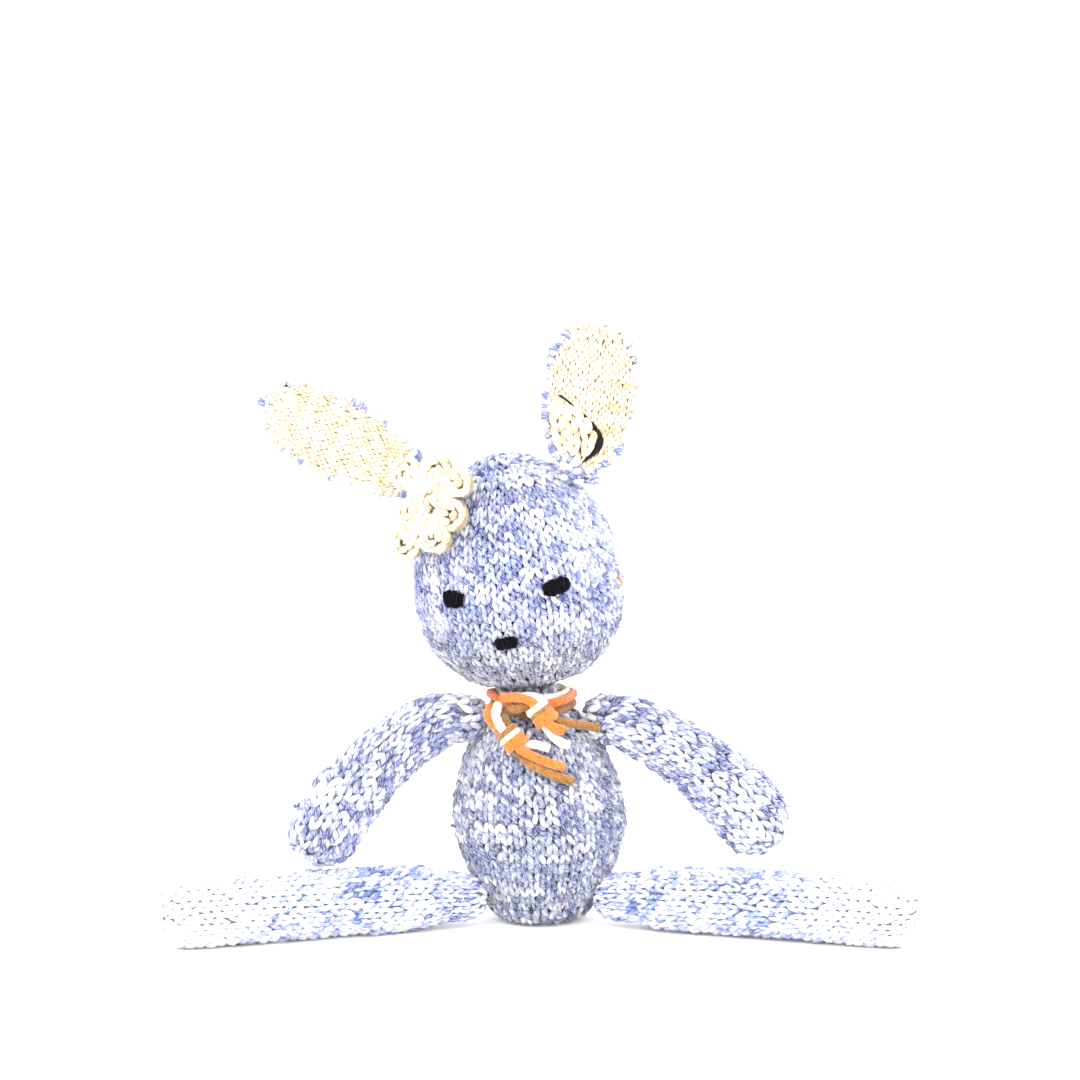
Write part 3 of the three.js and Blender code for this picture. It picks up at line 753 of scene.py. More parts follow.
def felt_material(name, colour, spread):
    """Felted roving: matted fibres, a little uneven in colour."""
    material, nodes, links, shader = new_material(name, 0.98, 0.35)
    where = nodes.new("ShaderNodeTexCoord")
    clumps = noise_node(nodes, links, where.outputs["Object"], 420, 4, 1.5)
    hairs = noise_node(nodes, links, where.outputs["Object"], 1900, 3, 0.3)
    both = math_node(nodes, links, "ADD", math_node(nodes, links, "MULTIPLY", clumps, 0.6),
                     math_node(nodes, links, "MULTIPLY", hairs, 0.4))
    ramp = nodes.new("ShaderNodeValToRGB")
    dark, light = ramp.color_ramp.elements
    dark.position, light.position = 0.32, 0.66
    dark.color = (*(colour * (1 - spread)), 1)
    light.color = (*np.clip(colour * (1 + spread * 0.5) + 0.02, 0, 1), 1)
    links.new(both, ramp.inputs[0])
    links.new(ramp.outputs[0], shader.inputs["Base Color"])
    bump_node(nodes, links, shader, both, 1.0, 0.0012)
    return material


FINISHES = {}


def finish(name):
    """A material of this object, made the first time it is asked for."""
    if name not in FINISHES:
        makers = {
            "blue_wool": lambda: wool_material("blue_marled_wool", shade("fleck"), shade("navy") * 0.9,
                                               streak=0.46),
            "ear_wool": lambda: wool_material("lilac_marled_wool", shade("fleck"), shade("lilac") * 0.7),
            "cream_wool": lambda: wool_material("cream_wool", shade("cream") * 1.15, shade("tan") * 0.7,
                                                contrast=1.6, fibre=0.2),
            "black_yarn": lambda: wool_material("black_embroidery_yarn", shade("black") * 12, shade("black"),
                                                contrast=1.5, sheen=0, bump=0.4, streak=0.25),
            "orange_felt": lambda: felt_material("orange_felt", shade("orange"), 0.5),
            "cream_felt": lambda: felt_material("cream_felt", shade("felt"), 0.28),
            "brown_felt": lambda: felt_material("brown_felt", shade("brown"), 0.6),
            "fibrefill": lambda: felt_material("loose_fibrefill", shade("fill"), 0.1),
        }
        FINISHES[name] = makers[name]()
    return FINISHES[name]


GRAINS = {}


def grain():
    if "loop" not in GRAINS:
        GRAINS["loop"] = modelled_loop()
    return GRAINS["loop"]


# ------------------------------------------------------------------ the stuffed forms
NECK = np.array([-3.0, 0, 90])
HEAD_ROLL, HEAD_TURN = math.radians(7), math.radians(8.4)
HEAD_AXIS = np.array([-math.sin(HEAD_ROLL), 0, math.cos(HEAD_ROLL)])
HEAD_CENTRE = NECK + HEAD_AXIS * 40.5
CHEEK_FULLNESS = 2.3


def body_side(steps):
    belly = shape().belly_radius / MM
    return curve([(10, 0), (19.5, 5.5), (belly, 38), (26.8, 67), (18.5, 78.5), (10.5, 84.5)], steps)


def lean_at(z):
    return -3 * np.clip((z - 38) / 52, 0, 1)


def body_fabric(rings=44, columns=60):
    side = body_side(200)
    side[:, 0] -= BASE_DEPTH * 0.9
    neck = np.array([[9.0, 87.5], [9.0, 91.5], [0, 92.3]])
    line = even(np.vstack([[[0, BASE_DEPTH + 0.3]], np.maximum(side, [0, BASE_DEPTH + 0.3]), neck]), rings)
    turn = turns(columns, math.pi / 2)
    r, z = line[:, :1], line[:, 1:]
    grid = np.stack([r * np.cos(turn) + lean_at(z), r * np.sin(turn), z + 0 * turn], -1)
    grid[0], grid[-1] = grid[0].mean(0), grid[-1].mean(0)
    return Fabric(grid)


def head_turned(points):
    """From the head's own directions to the room's."""
    ct, st = math.cos(-HEAD_TURN), math.sin(-HEAD_TURN)
    cr, sr = math.cos(-HEAD_ROLL), math.sin(-HEAD_ROLL)
    x = points[..., 0] * ct - points[..., 1] * st
    y = points[..., 0] * st + points[..., 1] * ct
    z = points[..., 2]
    return np.stack([x * cr + z * sr, y, -x * sr + z * cr], -1)


def head_fabric(rings=52, columns=72):
    wide, deep = shape().head_radius / MM, shape().head_depth / MM
    angle = np.linspace(-math.pi / 2, math.pi / 2, 300)
    power = np.where(angle < 0, 2 / CHEEK_FULLNESS, 1)
    tall = np.where(angle < 0, shape().chin_drop, shape().crown_rise) / MM
    r = (wide - BASE_DEPTH) * np.maximum(np.cos(angle), 0) ** power
    z = (tall - BASE_DEPTH) * np.sign(angle) * np.abs(np.sin(angle)) ** power
    r[0] = r[-1] = 0
    line = even(np.stack([r, z], 1), rings)
    turn = turns(columns, math.pi / 2)
    grid = np.stack([line[:, :1] * np.cos(turn), line[:, :1] * np.sin(turn) * deep / wide,
                     line[:, 1:] + 0 * turn], -1)
    grid[0], grid[-1] = grid[0].mean(0), grid[-1].mean(0)
    return Fabric(head_turned(grid) + HEAD_CENTRE)


def on_head(left, rise):
    """A place on the head and the way out of it, by angles to the toy's left and upwards."""
    a, e = math.radians(left), math.radians(rise)
    wide, deep = shape().head_radius / MM, shape().head_depth / MM
    tall = (shape().chin_drop if e < 0 else shape().crown_rise) / MM
    power = CHEEK_FULLNESS if e < 0 else 2
    ray = np.array([math.sin(a) * math.cos(e), -math.cos(a) * math.cos(e), math.sin(e)])
    flat, steep = math.hypot(ray[0] / wide, ray[1] / deep), abs(ray[2]) / tall
    reach = 1 / (flat ** power + steep ** power) ** (1 / power)
    point = ray * reach
    pull = (flat * reach) ** (power - 2)
    out = np.array([pull * point[0] / wide ** 2, pull * point[1] / deep ** 2,
                    math.copysign((steep * reach) ** (power - 1) / tall, ray[2])])
    return head_turned(point) + HEAD_CENTRE, unit(head_turned(out))


def limb_fabric(path, root, middle, tip, cap, beside, rings=46, columns=28):
    """A stuffed tube along a path, with a rounded root and a blunt end."""
    spine_steps = 240
    spine = curve(path, spine_steps)
    length = long(spine)
    turn = np.linspace(-math.pi / 2, 0, 12)
    outline = [np.stack([root * np.cos(turn), root * np.sin(turn)], 1)]
    t = np.linspace(0, 1, 120)[1:]
    radius = root + (middle - root) * smooth(t, 0, 0.22) + (tip - middle) * smooth(t, 0.35, 0.85)
    outline.append(np.stack([radius, t * length], 1))
    turn = np.linspace(0, math.pi / 2, 14)[1:]
    outline.append(np.stack([tip * np.cos(turn), length + cap * np.sin(turn)], 1))
    outline = np.vstack(outline)
    outline[:, 0] = np.maximum(outline[:, 0] - BASE_DEPTH, 0)
    low, high = outline[0, 1] + BASE_DEPTH, outline[-1, 1] - BASE_DEPTH
    outline[:, 1] = np.clip(outline[:, 1], low, high)
    outline[0, 0] = outline[-1, 0] = 0
    line = even(outline, rings)
    share = np.clip(line[:, 1] / length, 0, 1)
    beyond = line[:, 1] - share * length
    centre = steps_along(spine, share * spine_steps)
    way = unit(steps_along(unit(np.gradient(spine, axis=0)), share * spine_steps))
    across = unit(np.cross(beside, way))
    over = np.cross(way, across)
    turn = turns(columns)
    grid = centre[:, None] + way[:, None] * beyond[:, None, None] + line[:, :1, None] * (
        across[:, None] * np.cos(turn)[None, :, None] + over[:, None] * np.sin(turn)[None, :, None])
    grid[0], grid[-1] = grid[0].mean(0), grid[-1].mean(0)
    return Fabric(grid)


def joint_place(name):
    found = [j for j in frame["joints"] if j["name"] == name]
    if not found:
        raise RuntimeError(f"no joint named {name}")
    return np.array(found[0]["pos_m"], float) / MM


ARM_ROUTES = {
    "right": [(0, 0, 0), (8, -3, 0.2), (21, -8, -5.6), (33, -13, -14.5),
              (45, -17.5, -26.5), (54.5, -21.5, -39.4)],
    "left": [(0, 0, 0), (9, -3.6, -1), (25, -9.5, -8), (39.5, -15, -17.2),
             (50, -18.5, -26), (58, -21.5, -35)],
}


def arm_fabric(side):
    sign = -1 if side == "right" else 1
    root = joint_place(f"shoulder_{side}_swing")
    path = [root + np.array([x * sign, y, z]) for x, y, z in ARM_ROUTES[side]]
    return limb_fabric(path, 8.8, 11.8, shape().hand_radius / MM, 12.5, (0, 1, 0))


def leg_fabric(side):
    sign = -1 if side == "right" else 1
    root = joint_place(f"hip_{side}_splay")
    splay = math.radians(16)
    flat = np.array([sign * math.cos(splay), -math.sin(splay), 0])
    middle, foot = 13.0, shape().foot_radius / MM

    def at(distance, height):
        point = root + flat * distance
        point[2] = height
        return point
    path = [root, at(13, root[2] * 0.4 + middle * 0.6), at(32.4, middle),
            at(59.4, middle + (foot - middle) * 0.35), at(86.4, foot), at(108, foot)]
    return limb_fabric(path, 10.2, middle, foot, 10.5, (0, 0, 1))


def loose_end(wool, fabric, target, way, length, tone):
    """A short end of yarn that pokes out of the knitting beside a place."""
    grid = fabric.grid.reshape(-1, 3)
    start = grid[np.linalg.norm(grid - target, axis=1).argmin()]
    t = np.linspace(0, 1, 8)[:, None]
    curl = np.array([0.3, -0.2, 0.5]) * np.sin(t * 5) * 0.8
    line = start + unit(np.array(way, float)) * t * length + curl
    radius = 0.8 * np.array([0.9, 1, 1, 1, 0.95, 0.9, 0.8, 0.5])
    lay_strand(wool, line, radius, tone, tone * 1.4, sides=7)


def knit_cover(name, node, body, fabric, columns, row_height, dye, seed, cap=1.2, lumps=0.5, ends=()):
    """One knitted cover: a stuffed ground, painted dark as the shade between the stitches, and all its
    stitches, riding on its body.
    """
    full = stuffed(fabric, cap, lumps, seed)
    wool = Wool()
    ground(wool, full, dye)
    rows = int(round(full.length / row_height))
    stitches(wool, grain(), full, columns, rows, dye, seed)
    fibres = np.array([shade("lavender"), shade("fleck"), shade("cornflower"), shade("fleck") * 0.7])
    halo_on(wool, full, int(full.length * full.girth.max() / 12), seed, fibres)
    for target, way, length, tone in ends:
        loose_end(wool, full, target, way, length, shade(tone))
    rest_on_floor(wool)
    piece = wool.piece(name, [finish("blue_wool")])
    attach(piece, body)
    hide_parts(node)


# ------------------------------------------------------------------ operators
class RABBIT_OT_stage(bpy.types.Operator):
    """Pale floor, soft lights and the camera"""
    bl_idname = "rabbit.stage"
    bl_label = "Stage"

    def execute(self, context):
        bpy.ops.object.select_all(action="DESELECT")
        bpy.ops.mesh.primitive_plane_add(size=8, location=(0, 0, 0))
        floor = context.object
        floor.name = "floor"
        material, _, _, shader = new_material("floor", 0.9, 0)
        shader.inputs["Base Color"].default_value = (*shade("floor"), 1)
        shader.inputs["Specular IOR Level"].default_value = 0
        floor.data.materials.append(material)
        bpy.ops.mesh.primitive_cylinder_add(vertices=64, radius=2.2, depth=4, end_fill_type="NOTHING",
                                            location=(0, 0, 1.9))
        backdrop = context.object
        backdrop.name = "backdrop"
        material, _, _, shader = new_material("backdrop", 0.9, 0)
        shader.inputs["Base Color"].default_value = (1, 1, 1, 1)
        shader.inputs["Emission Color"].default_value = (1, 1, 1, 1)
        shader.inputs["Emission Strength"].default_value = 1.0
        backdrop.data.materials.append(material)

        tilt, distance, aim = math.radians(8.5), 1.3, Vector((0, 0, 0.1492))
        view = bpy.data.cameras.new("camera")
        view.lens = 112.6
        view.sensor_width = 36
        view.clip_end = 20
        camera = bpy.data.objects.new("camera", view)
        context.collection.objects.link(camera)
        camera.location = aim + Vector((0, -math.cos(tilt), math.sin(tilt))) * distance
        camera.rotation_euler = (math.pi / 2 - tilt, 0, 0)
        context.scene.camera = camera

        lit = Vector((0, 0, 0.1))
        for name, place, size, power in (("key_light", (-0.75, -1.0, 1.5), 1.0, 17),
                                         ("fill_light", (1.1, -1.1, 0.9), 1.4, 8),
                                         ("top_light", (0.1, 0.5, 1.8), 1.6, 14)):
            lamp = bpy.data.lights.new(name, "AREA")
            lamp.size = size
            lamp.energy = power
            light = bpy.data.objects.new(name, lamp)
            context.collection.objects.link(light)
            light.location = place
            light.rotation_euler = (lit - Vector(place)).to_track_quat("-Z", "Y").to_euler()
        world = bpy.data.worlds.new("studio")
        world.use_nodes = True
        world.node_tree.nodes["Background"].inputs[0].default_value = (1, 1, 1, 1)
        world.node_tree.nodes["Background"].inputs[1].default_value = 0.62
        context.scene.world = world
        context.scene.view_settings.view_transform = "Standard"
        return {"FINISHED"}


class RABBIT_OT_tie(bpy.types.Operator):
    """Neck turns, knots and loose ends of the felt tie"""
    bl_idname = "rabbit.tie"
    bl_label = "Felt tie"

    def execute(self, context):
        make_tie()
        return {"FINISHED"}


class RABBIT_OT_body(bpy.types.Operator):
    """Knitted body cover"""
    bl_idname = "rabbit.body"
    bl_label = "Body"

    def execute(self, context):
        def dye(places, at, v):
            pale = 0.03 + 0.05 * smooth(places[..., 2], 30, 5) - 0.05 * wander(places, 20, 3)
            return blue_yarn(places, pale - 0.10, at, 11, grey=0.36, bright=0.8)
        knit_cover("body_knitting", "body_cover", "torso", body_fabric(), gauge().body_columns,
                   gauge().row_height / MM, dye, 21, ends=[((-33, -6, 38), (-1, -0.3, 0.5), 4.2, "navy")])
        return {"FINISHED"}


class RABBIT_OT_head(bpy.types.Operator):
    """Knitted head cover"""
    bl_idname = "rabbit.head"
    bl_label = "Head"

    def execute(self, context):
        def dye(places, at, v):
            z = places[..., 2]
            # the lower head is greyer and painted darker: the darkening is painted shade, as from light
            # falling from above
            low = (1 - smooth(z, 102, 132))[..., None]
            crown = smooth(z, 135, 165)[..., None]
            return blue_yarn(places, -0.11 + 0.05 * crown[..., 0], at, 5,
                             grey=0.1 + 0.5 * low + 0.05 * crown, bright=0.94 - 0.28 * low)
        ends = [((35, -14, 138), (0.9, -0.5, -0.6), 4.5, "orange"),
                *(((x, -16, z), (-0.5, -0.6, 1), 5, "navy") for x, z in ((-23, 178), (-26, 174), (-20, 181)))]
        knit_cover("head_knitting", "head_cover", "head", head_fabric(), gauge().head_columns,
                   gauge().head_row_height / MM, dye, 31, ends=ends)
        return {"FINISHED"}


class RABBIT_OT_arms(bpy.types.Operator):
    """Both knitted arm covers"""
    bl_idname = "rabbit.arms"
    bl_label = "Arms"

    def execute(self, context):
        for side, seed, ends in (("right", 41, [((-88, -28, 50), (-1, -0.4, 0.1), 3.8, "navy"),
                                                ((-60, -20, 45), (1, -0.5, -0.6), 3.2, "lavender")]),
                                 ("left", 43, [((75, -24, 27), (-0.8, -0.4, -0.5), 6.5, "lavender")])):
            def dye(places, at, v, seed=seed):
                return blue_yarn(places, -0.07 + 0.14 * smooth(v, 0.5, 1.0), at, seed * 0.3, grey=0.28)
            knit_cover(f"arm_{side}_knitting", f"arm_{side}_cover", f"arm_{side}", arm_fabric(side),
                       gauge().arm_columns, gauge().row_height / MM * 1.08, dye, seed,
                       cap=0.9, lumps=0.4, ends=ends)
        return {"FINISHED"}


class RABBIT_OT_legs(bpy.types.Operator):
    """Both knitted leg covers"""
    bl_idname = "rabbit.legs"
    bl_label = "Legs"

    def execute(self, context):
        for side, seed in (("right", 51), ("left", 53)):
            def dye(places, at, v, seed=seed):
                foot = smooth(v, 0.55, 0.85)
                plies = blue_yarn(places, 0.24 + 0.22 * foot, at, seed * 0.3, bright=1.08)
                # the leg's yarn is made a little bluer, and towards the feet it turns nearly white
                white = 0.62 * foot[..., None]
                cool, near_white = np.array([1.02, 1.06, 1.2]), np.array([0.86, 0.87, 0.93])
                return [np.clip(ply * cool * (1 - white) + white * near_white, 0, BRIGHTEST) for ply in plies]
            knit_cover(f"leg_{side}_knitting", f"leg_{side}_cover", f"leg_{side}", leg_fabric(side),
                       gauge().leg_columns, gauge().row_height / MM * 1.05, dye, seed,
                       cap=0.9, lumps=0.4)
        return {"FINISHED"}


class RABBIT_OT_ears(bpy.types.Operator):
    """Outer fabric, cream lining and whipped edge of both ears"""
    bl_idname = "rabbit.ears"
    bl_label = "Ears"

    def execute(self, context):
        for side in ("right", "left"):
            make_ear(side)
        return {"FINISHED"}


class RABBIT_OT_face(bpy.types.Operator):
    """Embroidered eyes and nose"""
    bl_idname = "rabbit.face"
    bl_label = "Face"

    def execute(self, context):
        embroider("eye_right", -29.4, 6.0, 8.0, 5.9, 0, 61)
        embroider("eye_left", 30.4, 7.4, 9.8, 5.4, 15, 62)
        embroider("nose", -1.5, -20.6, 7.6, 4.2, 10, 63)
        return {"FINISHED"}


class RABBIT_OT_flower(bpy.types.Operator):
    """Crocheted flower beside the right ear"""
    bl_idname = "rabbit.flower"
    bl_label = "Flower"

    def execute(self, context):
        make_flower()
        return {"FINISHED"}


class RABBIT_OT_inside(bpy.types.Operator):
    """Finish of the stuffing and the joining yarn inside the covers"""
    bl_idname = "rabbit.inside"
    bl_label = "Stuffing"

    def execute(self, context):
        for name, node in frame["nodes"].items():
            if "stuffing" in name:
                give(node, finish("fibrefill"))
            elif "joining_yarn" in name:
                give(node, finish("cream_felt"))
        return {"FINISHED"}


def give(node, material):
    node.data.materials.clear()
    node.data.materials.append(material)


# ------------------------------------------------------------------ ears
EARS = {
    "right": dict(length=71, half=16.5, flank=4, lean=-61.5, cup=3.2),
    "left": dict(length=57, half=18, flank=11, lean=6, cup=3.6),
}
EAR_ROOT = 5.5


def bezier(a, b, c, d, steps=40):
    t = np.linspace(0, 1, steps)[:, None]
    a, b, c, d = (np.array(p, float) for p in (a, b, c, d))
    return a * (1 - t) ** 3 + 3 * b * t * (1 - t) ** 2 + 3 * c * t * t * (1 - t) + d * t ** 3


def ear_side(ear):
    """Half the ear's outline, from its foot to its tip: across and along."""
    length, half, flank = ear["length"], ear["half"], ear["flank"]
    turn = np.linspace(-math.pi / 2, 0, 14)
    foot = np.stack([EAR_ROOT * np.cos(turn), EAR_ROOT * np.sin(turn)], 1)
    lower = bezier((EAR_ROOT, 0), (EAR_ROOT + flank, length * 0.08),
                   (half, length * 0.3), (half, length * 0.58))
    upper = bezier((half, length * 0.58), (half, length * 0.82), (half * 0.6, length), (0, length))
    return np.vstack([foot, lower[1:], upper[1:]])


def ear_maker(side):
    ear = EARS[side]
    centre = joint_place(f"ear_{side}_droop")
    angle = math.radians(ear["lean"])
    along = np.array([math.sin(angle), 0, math.cos(angle)])
    front = np.array([0, -1.0, 0])
    across = np.cross(along, front)
    outline = ear_side(ear)

    def half_at(y):
        return np.interp(y, outline[:, 1], outline[:, 0])

    def place(x, y, forward):
        """Cupped like a spoon: the sides stand forward of the middle, most of all near the foot."""
        half = np.maximum(half_at(y), 2)
        near = 1 - smooth(y, 0, ear["length"] * 0.6)
        cup = ear["cup"] * (0.5 + 1.0 * near)
        wave = 0.8 * np.sin(y * 0.16 + x * 0.1)
        depth = forward + cup * ((x / half) ** 2 - 0.35) * smooth(half, 2, 9) + wave
        return centre + across * x[..., None] + along * y[..., None] + front * depth[..., None]
    return ear, place, half_at, outline, front


def ear_grid(ear, place, half_at, forward, inset, rings, columns, domed=0.0):
    top = ear["length"] - inset
    y = np.linspace(-EAR_ROOT + inset + 0.6, top - 0.5, rings)[:, None]
    x = np.linspace(-1, 1, columns)[None] * np.maximum(half_at(y / (top / ear["length"])) - inset, 0.6)
    y = y + 0 * x
    rise = forward + domed * (1 - np.linspace(-1, 1, columns)[None] ** 4)
    return place(x, y, rise)


def pad_of(wool, front, back, tone):
    """A closed thin pad between two grids of the same size."""
    rows, columns = front.shape[:2]
    points = np.vstack([front.reshape(-1, 3), back.reshape(-1, 3)])
    a = grid_faces(rows - 1, columns, False)
    b = a[:, ::-1] + rows * columns
    e = np.array([*range(columns), *[j * columns + columns - 1 for j in range(1, rows)],
                  *range(rows * columns - 2, (rows - 1) * columns - 1, -1),
                  *[j * columns for j in range(rows - 2, 0, -1)]])
    n = np.roll(e, -1)
    rim = np.stack([e, e + rows * columns, n + rows * columns, n], 1)
    faces = np.vstack([a, b, rim])
    tones = np.repeat(np.array([tone]), len(points), 0)
    wool.add(points, faces, np.zeros((len(faces), 4, 2)), tones, tones)


def make_ear(side):
    ear, place, half_at, outline, front = ear_maker(side)
    seed = 71 if side == "right" else 73
    rows, columns = 40, 21

    wool = Wool()
    near = ear_grid(ear, place, half_at, -0.4, 1.2, rows, columns)
    far = ear_grid(ear, place, half_at, -2.0, 1.2, rows, columns)
    # painted shade: the outer pad is lilac darkened to 0.6, for the shade between the stitches over it
    pad_of(wool, near, far, shade("lilac") * 0.6)
    stitches(wool, grain(), facing(far, -front), 8, int(ear["length"] / 3.6),
             lambda p, at, v: lilac_yarn(at, seed), seed)
    outer = wool.piece(f"ear_{side}_outer_knitting", [finish("ear_wool")])
    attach(outer, f"ear_{side}")
    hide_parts(f"ear_{side}_outer")

    wool = Wool()
    near = ear_grid(ear, place, half_at, 1.2, 1.9, rows, columns, domed=0.5)
    far = ear_grid(ear, place, half_at, -0.1, 1.9, rows, columns)
    # painted shade: the lining's pad is tan darkened to 0.45, for the shade between the stitches over it
    pad_of(wool, near, far, shade("tan") * 0.45)
    sheet = facing(near, front)
    bright = 1.3 if side == "right" else 1.05

    def dye(places, at, v):
        return [np.clip(ply * bright, 0, 0.9) for ply in cream_yarn(at, seed + 0.5)]
    rows_of = int(ear["length"] / (gauge().ear_row_height / MM))
    stitches(wool, grain(), sheet, gauge().ear_columns, rows_of, dye, seed + 1)
    halo_on(wool, sheet, 160, seed + 2, np.array([shade("cream"), shade("tan")]))
    if side == "left":
        ear_fold(wool, ear, place, half_at, front, dye, seed)
    lining = wool.piece(f"ear_{side}_lining_knitting", [finish("cream_wool")])
    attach(lining, f"ear_{side}")
    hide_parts(f"ear_{side}_lining")

    wool = Wool()
    rim_steps = 400
    rim = even(np.vstack([outline, outline[::-1] * [-1, 1]])[6:-6], rim_steps)
    roll = np.random.RandomState(seed)
    steps = roll.uniform(2.0, 4.8, int(long(rim) / 3.1))
    at = (np.cumsum(steps) - steps / 2) / steps.sum() * rim_steps
    count = len(at)
    spot = steps_along(rim, at)
    ahead = unit(steps_along(rim, at + 4) - spot + 1e-6)
    s = grain()["along"][None]
    sweep = np.radians(-105 + 215 * s)
    outwards = np.stack([ahead[:, 1], -ahead[:, 0]], 1)
    outwards *= np.sign((outwards * (spot - [0, ear["length"] * 0.45])).sum(1))[:, None]
    thick = np.clip(0.58 * steps, 1.25, 2.3) * roll.uniform(0.85, 1.2, count)
    reach = 1.6
    inward = spot - outwards * 2.3
    slant = (s - 0.5) * roll.uniform(1.0, 6.0, (count, 1))
    x = inward[:, None, 0] + outwards[:, None, 0] * reach * np.cos(sweep) + ahead[:, None, 0] * slant
    y = inward[:, None, 1] + outwards[:, None, 1] * reach * np.cos(sweep) + ahead[:, None, 1] * slant
    depth = 2.5 * np.sin(sweep) - 0.3
    centres = place(x, y, depth + 0 * x)
    middle = place(spot[:, 0] - outwards[:, 0] * 3, spot[:, 1] - outwards[:, 1] * 3, np.full(count, -0.3))
    ups = unit(centres - middle[:, None])
    yarn_at = np.arange(count) * 0.9
    bare = roll.rand(count, 1) < (0.42 if side == "right" else 0.2)
    plies = [np.where(bare, plain, dyed) for plain, dyed in
             zip(cream_yarn(yarn_at, seed), lilac_yarn(yarn_at, seed + 3))]
    lay_grains(wool, grain(), centres, ups, thick, plies[0], plies[1])
    # the gathered foot, sewn down with thick yarn
    foot_stitches = 22
    each = (foot_stitches, 1)
    x, y = roll.uniform(-6.5, 6.5, each), roll.uniform(-5, 4, each)
    depth = roll.uniform(-3.0, 3.5, each) * (1 - np.abs(x) / 12)
    way = roll.normal(0, 0.6, each)
    centres = place(x + np.cos(way) * (s - 0.5) * 5.5, y + np.sin(way) * (s - 0.5) * 5.5,
                    depth + 1.6 * np.sin(math.pi * s))
    plies = lilac_yarn(np.arange(foot_stitches) * 1.7, seed + 9)
    lay_grains(wool, grain(), centres, np.broadcast_to(front, centres.shape),
               roll.uniform(1.2, 1.9, foot_stitches), plies[0], plies[1])
    place_at = place(spot[:, 0], spot[:, 1], np.zeros(count))
    tones = np.array([shade("lilac"), shade("lavender"), shade("fleck")])
    halo(wool, np.repeat(place_at, 4, 0), np.repeat(unit(place_at - place_at.mean(0)), 4, 0),
         seed + 4, tones)
    edge = wool.piece(f"ear_{side}_whipped_edge", [finish("ear_wool")])
    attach(edge, f"ear_{side}")
    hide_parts(f"ear_{side}_edge")


def ear_fold(wool, ear, place, half_at, front, dye, seed):
    """The side of the lining that is tucked over itself near the foot."""
    length = ear["length"]
    v = np.linspace(0, 1, 18)[:, None]
    y = length * (0.02 + 0.46 * v)
    left = -(half_at(y) - 3.2)
    right = left + (2 + 17 * np.sin(math.pi * (1 - v * 0.97)) ** 0.8 * (1 - 0.35 * v))
    u = np.linspace(0, 1, 14)[None]
    x = left + (right - left) * u
    over = 1.9 + 3.2 * np.sin(math.pi * (0.08 + 0.72 * u)) * (1 - v ** 3) * (0.4 + 0.6 * v)
    under = over - 1.2 - 0.4 * u
    # painted shade: the tucked side's pad is tan darkened to 0.3, for the shade that shows between its
    # stitches
    pad_of(wool, place(x, y + 0 * x, over), place(x, y + 0 * x, under), shade("tan") * 0.3)
    # painted shadow beside the tucked side: a near-black strip where the lining's lip shades the tucked side
    gap = 1.6 + 3.2 * np.sin(math.pi * np.clip(1 - v, 0, 1) ** 1.6) ** 1.3
    x_gap = right - 1.2 + gap * u
    high = 3.5 + 0.5 * np.sin(math.pi * u)
    pad_of(wool, place(x_gap, y + 0 * x_gap, high), place(x_gap, y + 0 * x_gap, high - 0.8), shade("gap"))
    flap = facing(place(x, y + 0 * x, over), front)
    stitches(wool, grain(), flap, 3, 6, dye, seed + 5, tight=0.45)


# ------------------------------------------------------------------ face
def embroider(name, left, rise, width, height, slant, seed):
    """A block of satin stitches, side by side over the knitting."""
    point, out = on_head(left, rise)
    across = unit(np.cross((0, 0, 1), out))
    turn = math.radians(slant)
    upright = np.cross(out, across)
    across, upright = (across * math.cos(turn) + upright * math.sin(turn),
                       upright * math.cos(turn) - across * math.sin(turn))
    roll = np.random.RandomState(seed)
    wool = Wool()
    black = shade("black")
    stitch_width, fringe = 0.95, 26
    count = int(width / stitch_width)
    for layer in (0, 1):
        for i in range(count + 1 - layer):
            x = (i + 0.5 * layer) / count * width - width / 2
            reach = height / 2 * (1 - 0.3 * abs(2 * x / width) ** 3) + roll.uniform(-0.35, 0.35)
            lean = roll.uniform(-0.4, 0.4)
            t = np.linspace(-1, 1, 9)[:, None]
            line = (point + across * (x + lean * t) + upright * t * reach
                    + out * (0.9 + 0.55 * layer + 0.9 * (1 - t ** 4) - 0.25 * (2 * x / width) ** 2))
            lay_strand(wool, line, 0.62 + 0.1 * roll.rand(), black, black, sides=6, up=out)
    for i in range(fringe):
        angle = roll.rand() * 2 * math.pi
        start = (point + across * math.cos(angle) * width * 0.46
                 + upright * math.sin(angle) * height * 0.46 + out * 1.6)
        way = unit(across * math.cos(angle) + upright * math.sin(angle) + out * roll.uniform(0.2, 1.2)
                   + across * roll.uniform(-0.6, 0.6))
        t = np.linspace(0, 1, 4)[:, None]
        line = start + way * t * roll.uniform(0.8, 1.9) + upright * t * t * roll.uniform(-0.5, 0.5)
        lay_strand(wool, line, [0.1, 0.09, 0.07, 0.03], black, black * 2, sides=3, up=out)
    piece = wool.piece(f"{name}_embroidery", [finish("black_yarn")])
    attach(piece, "head")
    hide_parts(name)


# ------------------------------------------------------------------ flower
# Each lobe of the flower: across and along from its middle, radius, and how far it stands forward.
LOBES = ((-11.6, 10.8, 5.9, 2.8), (0.2, 13.4, 6.4, 1.6), (11.0, 8.6, 5.8, 2.6), (9.8, -3.4, 6.8, 1.8),
         (5.0, -12.8, 6.0, 2.6), (-7.8, -15.8, 6.4, 1.6), (-7.6, -3.6, 5.6, 1.4))


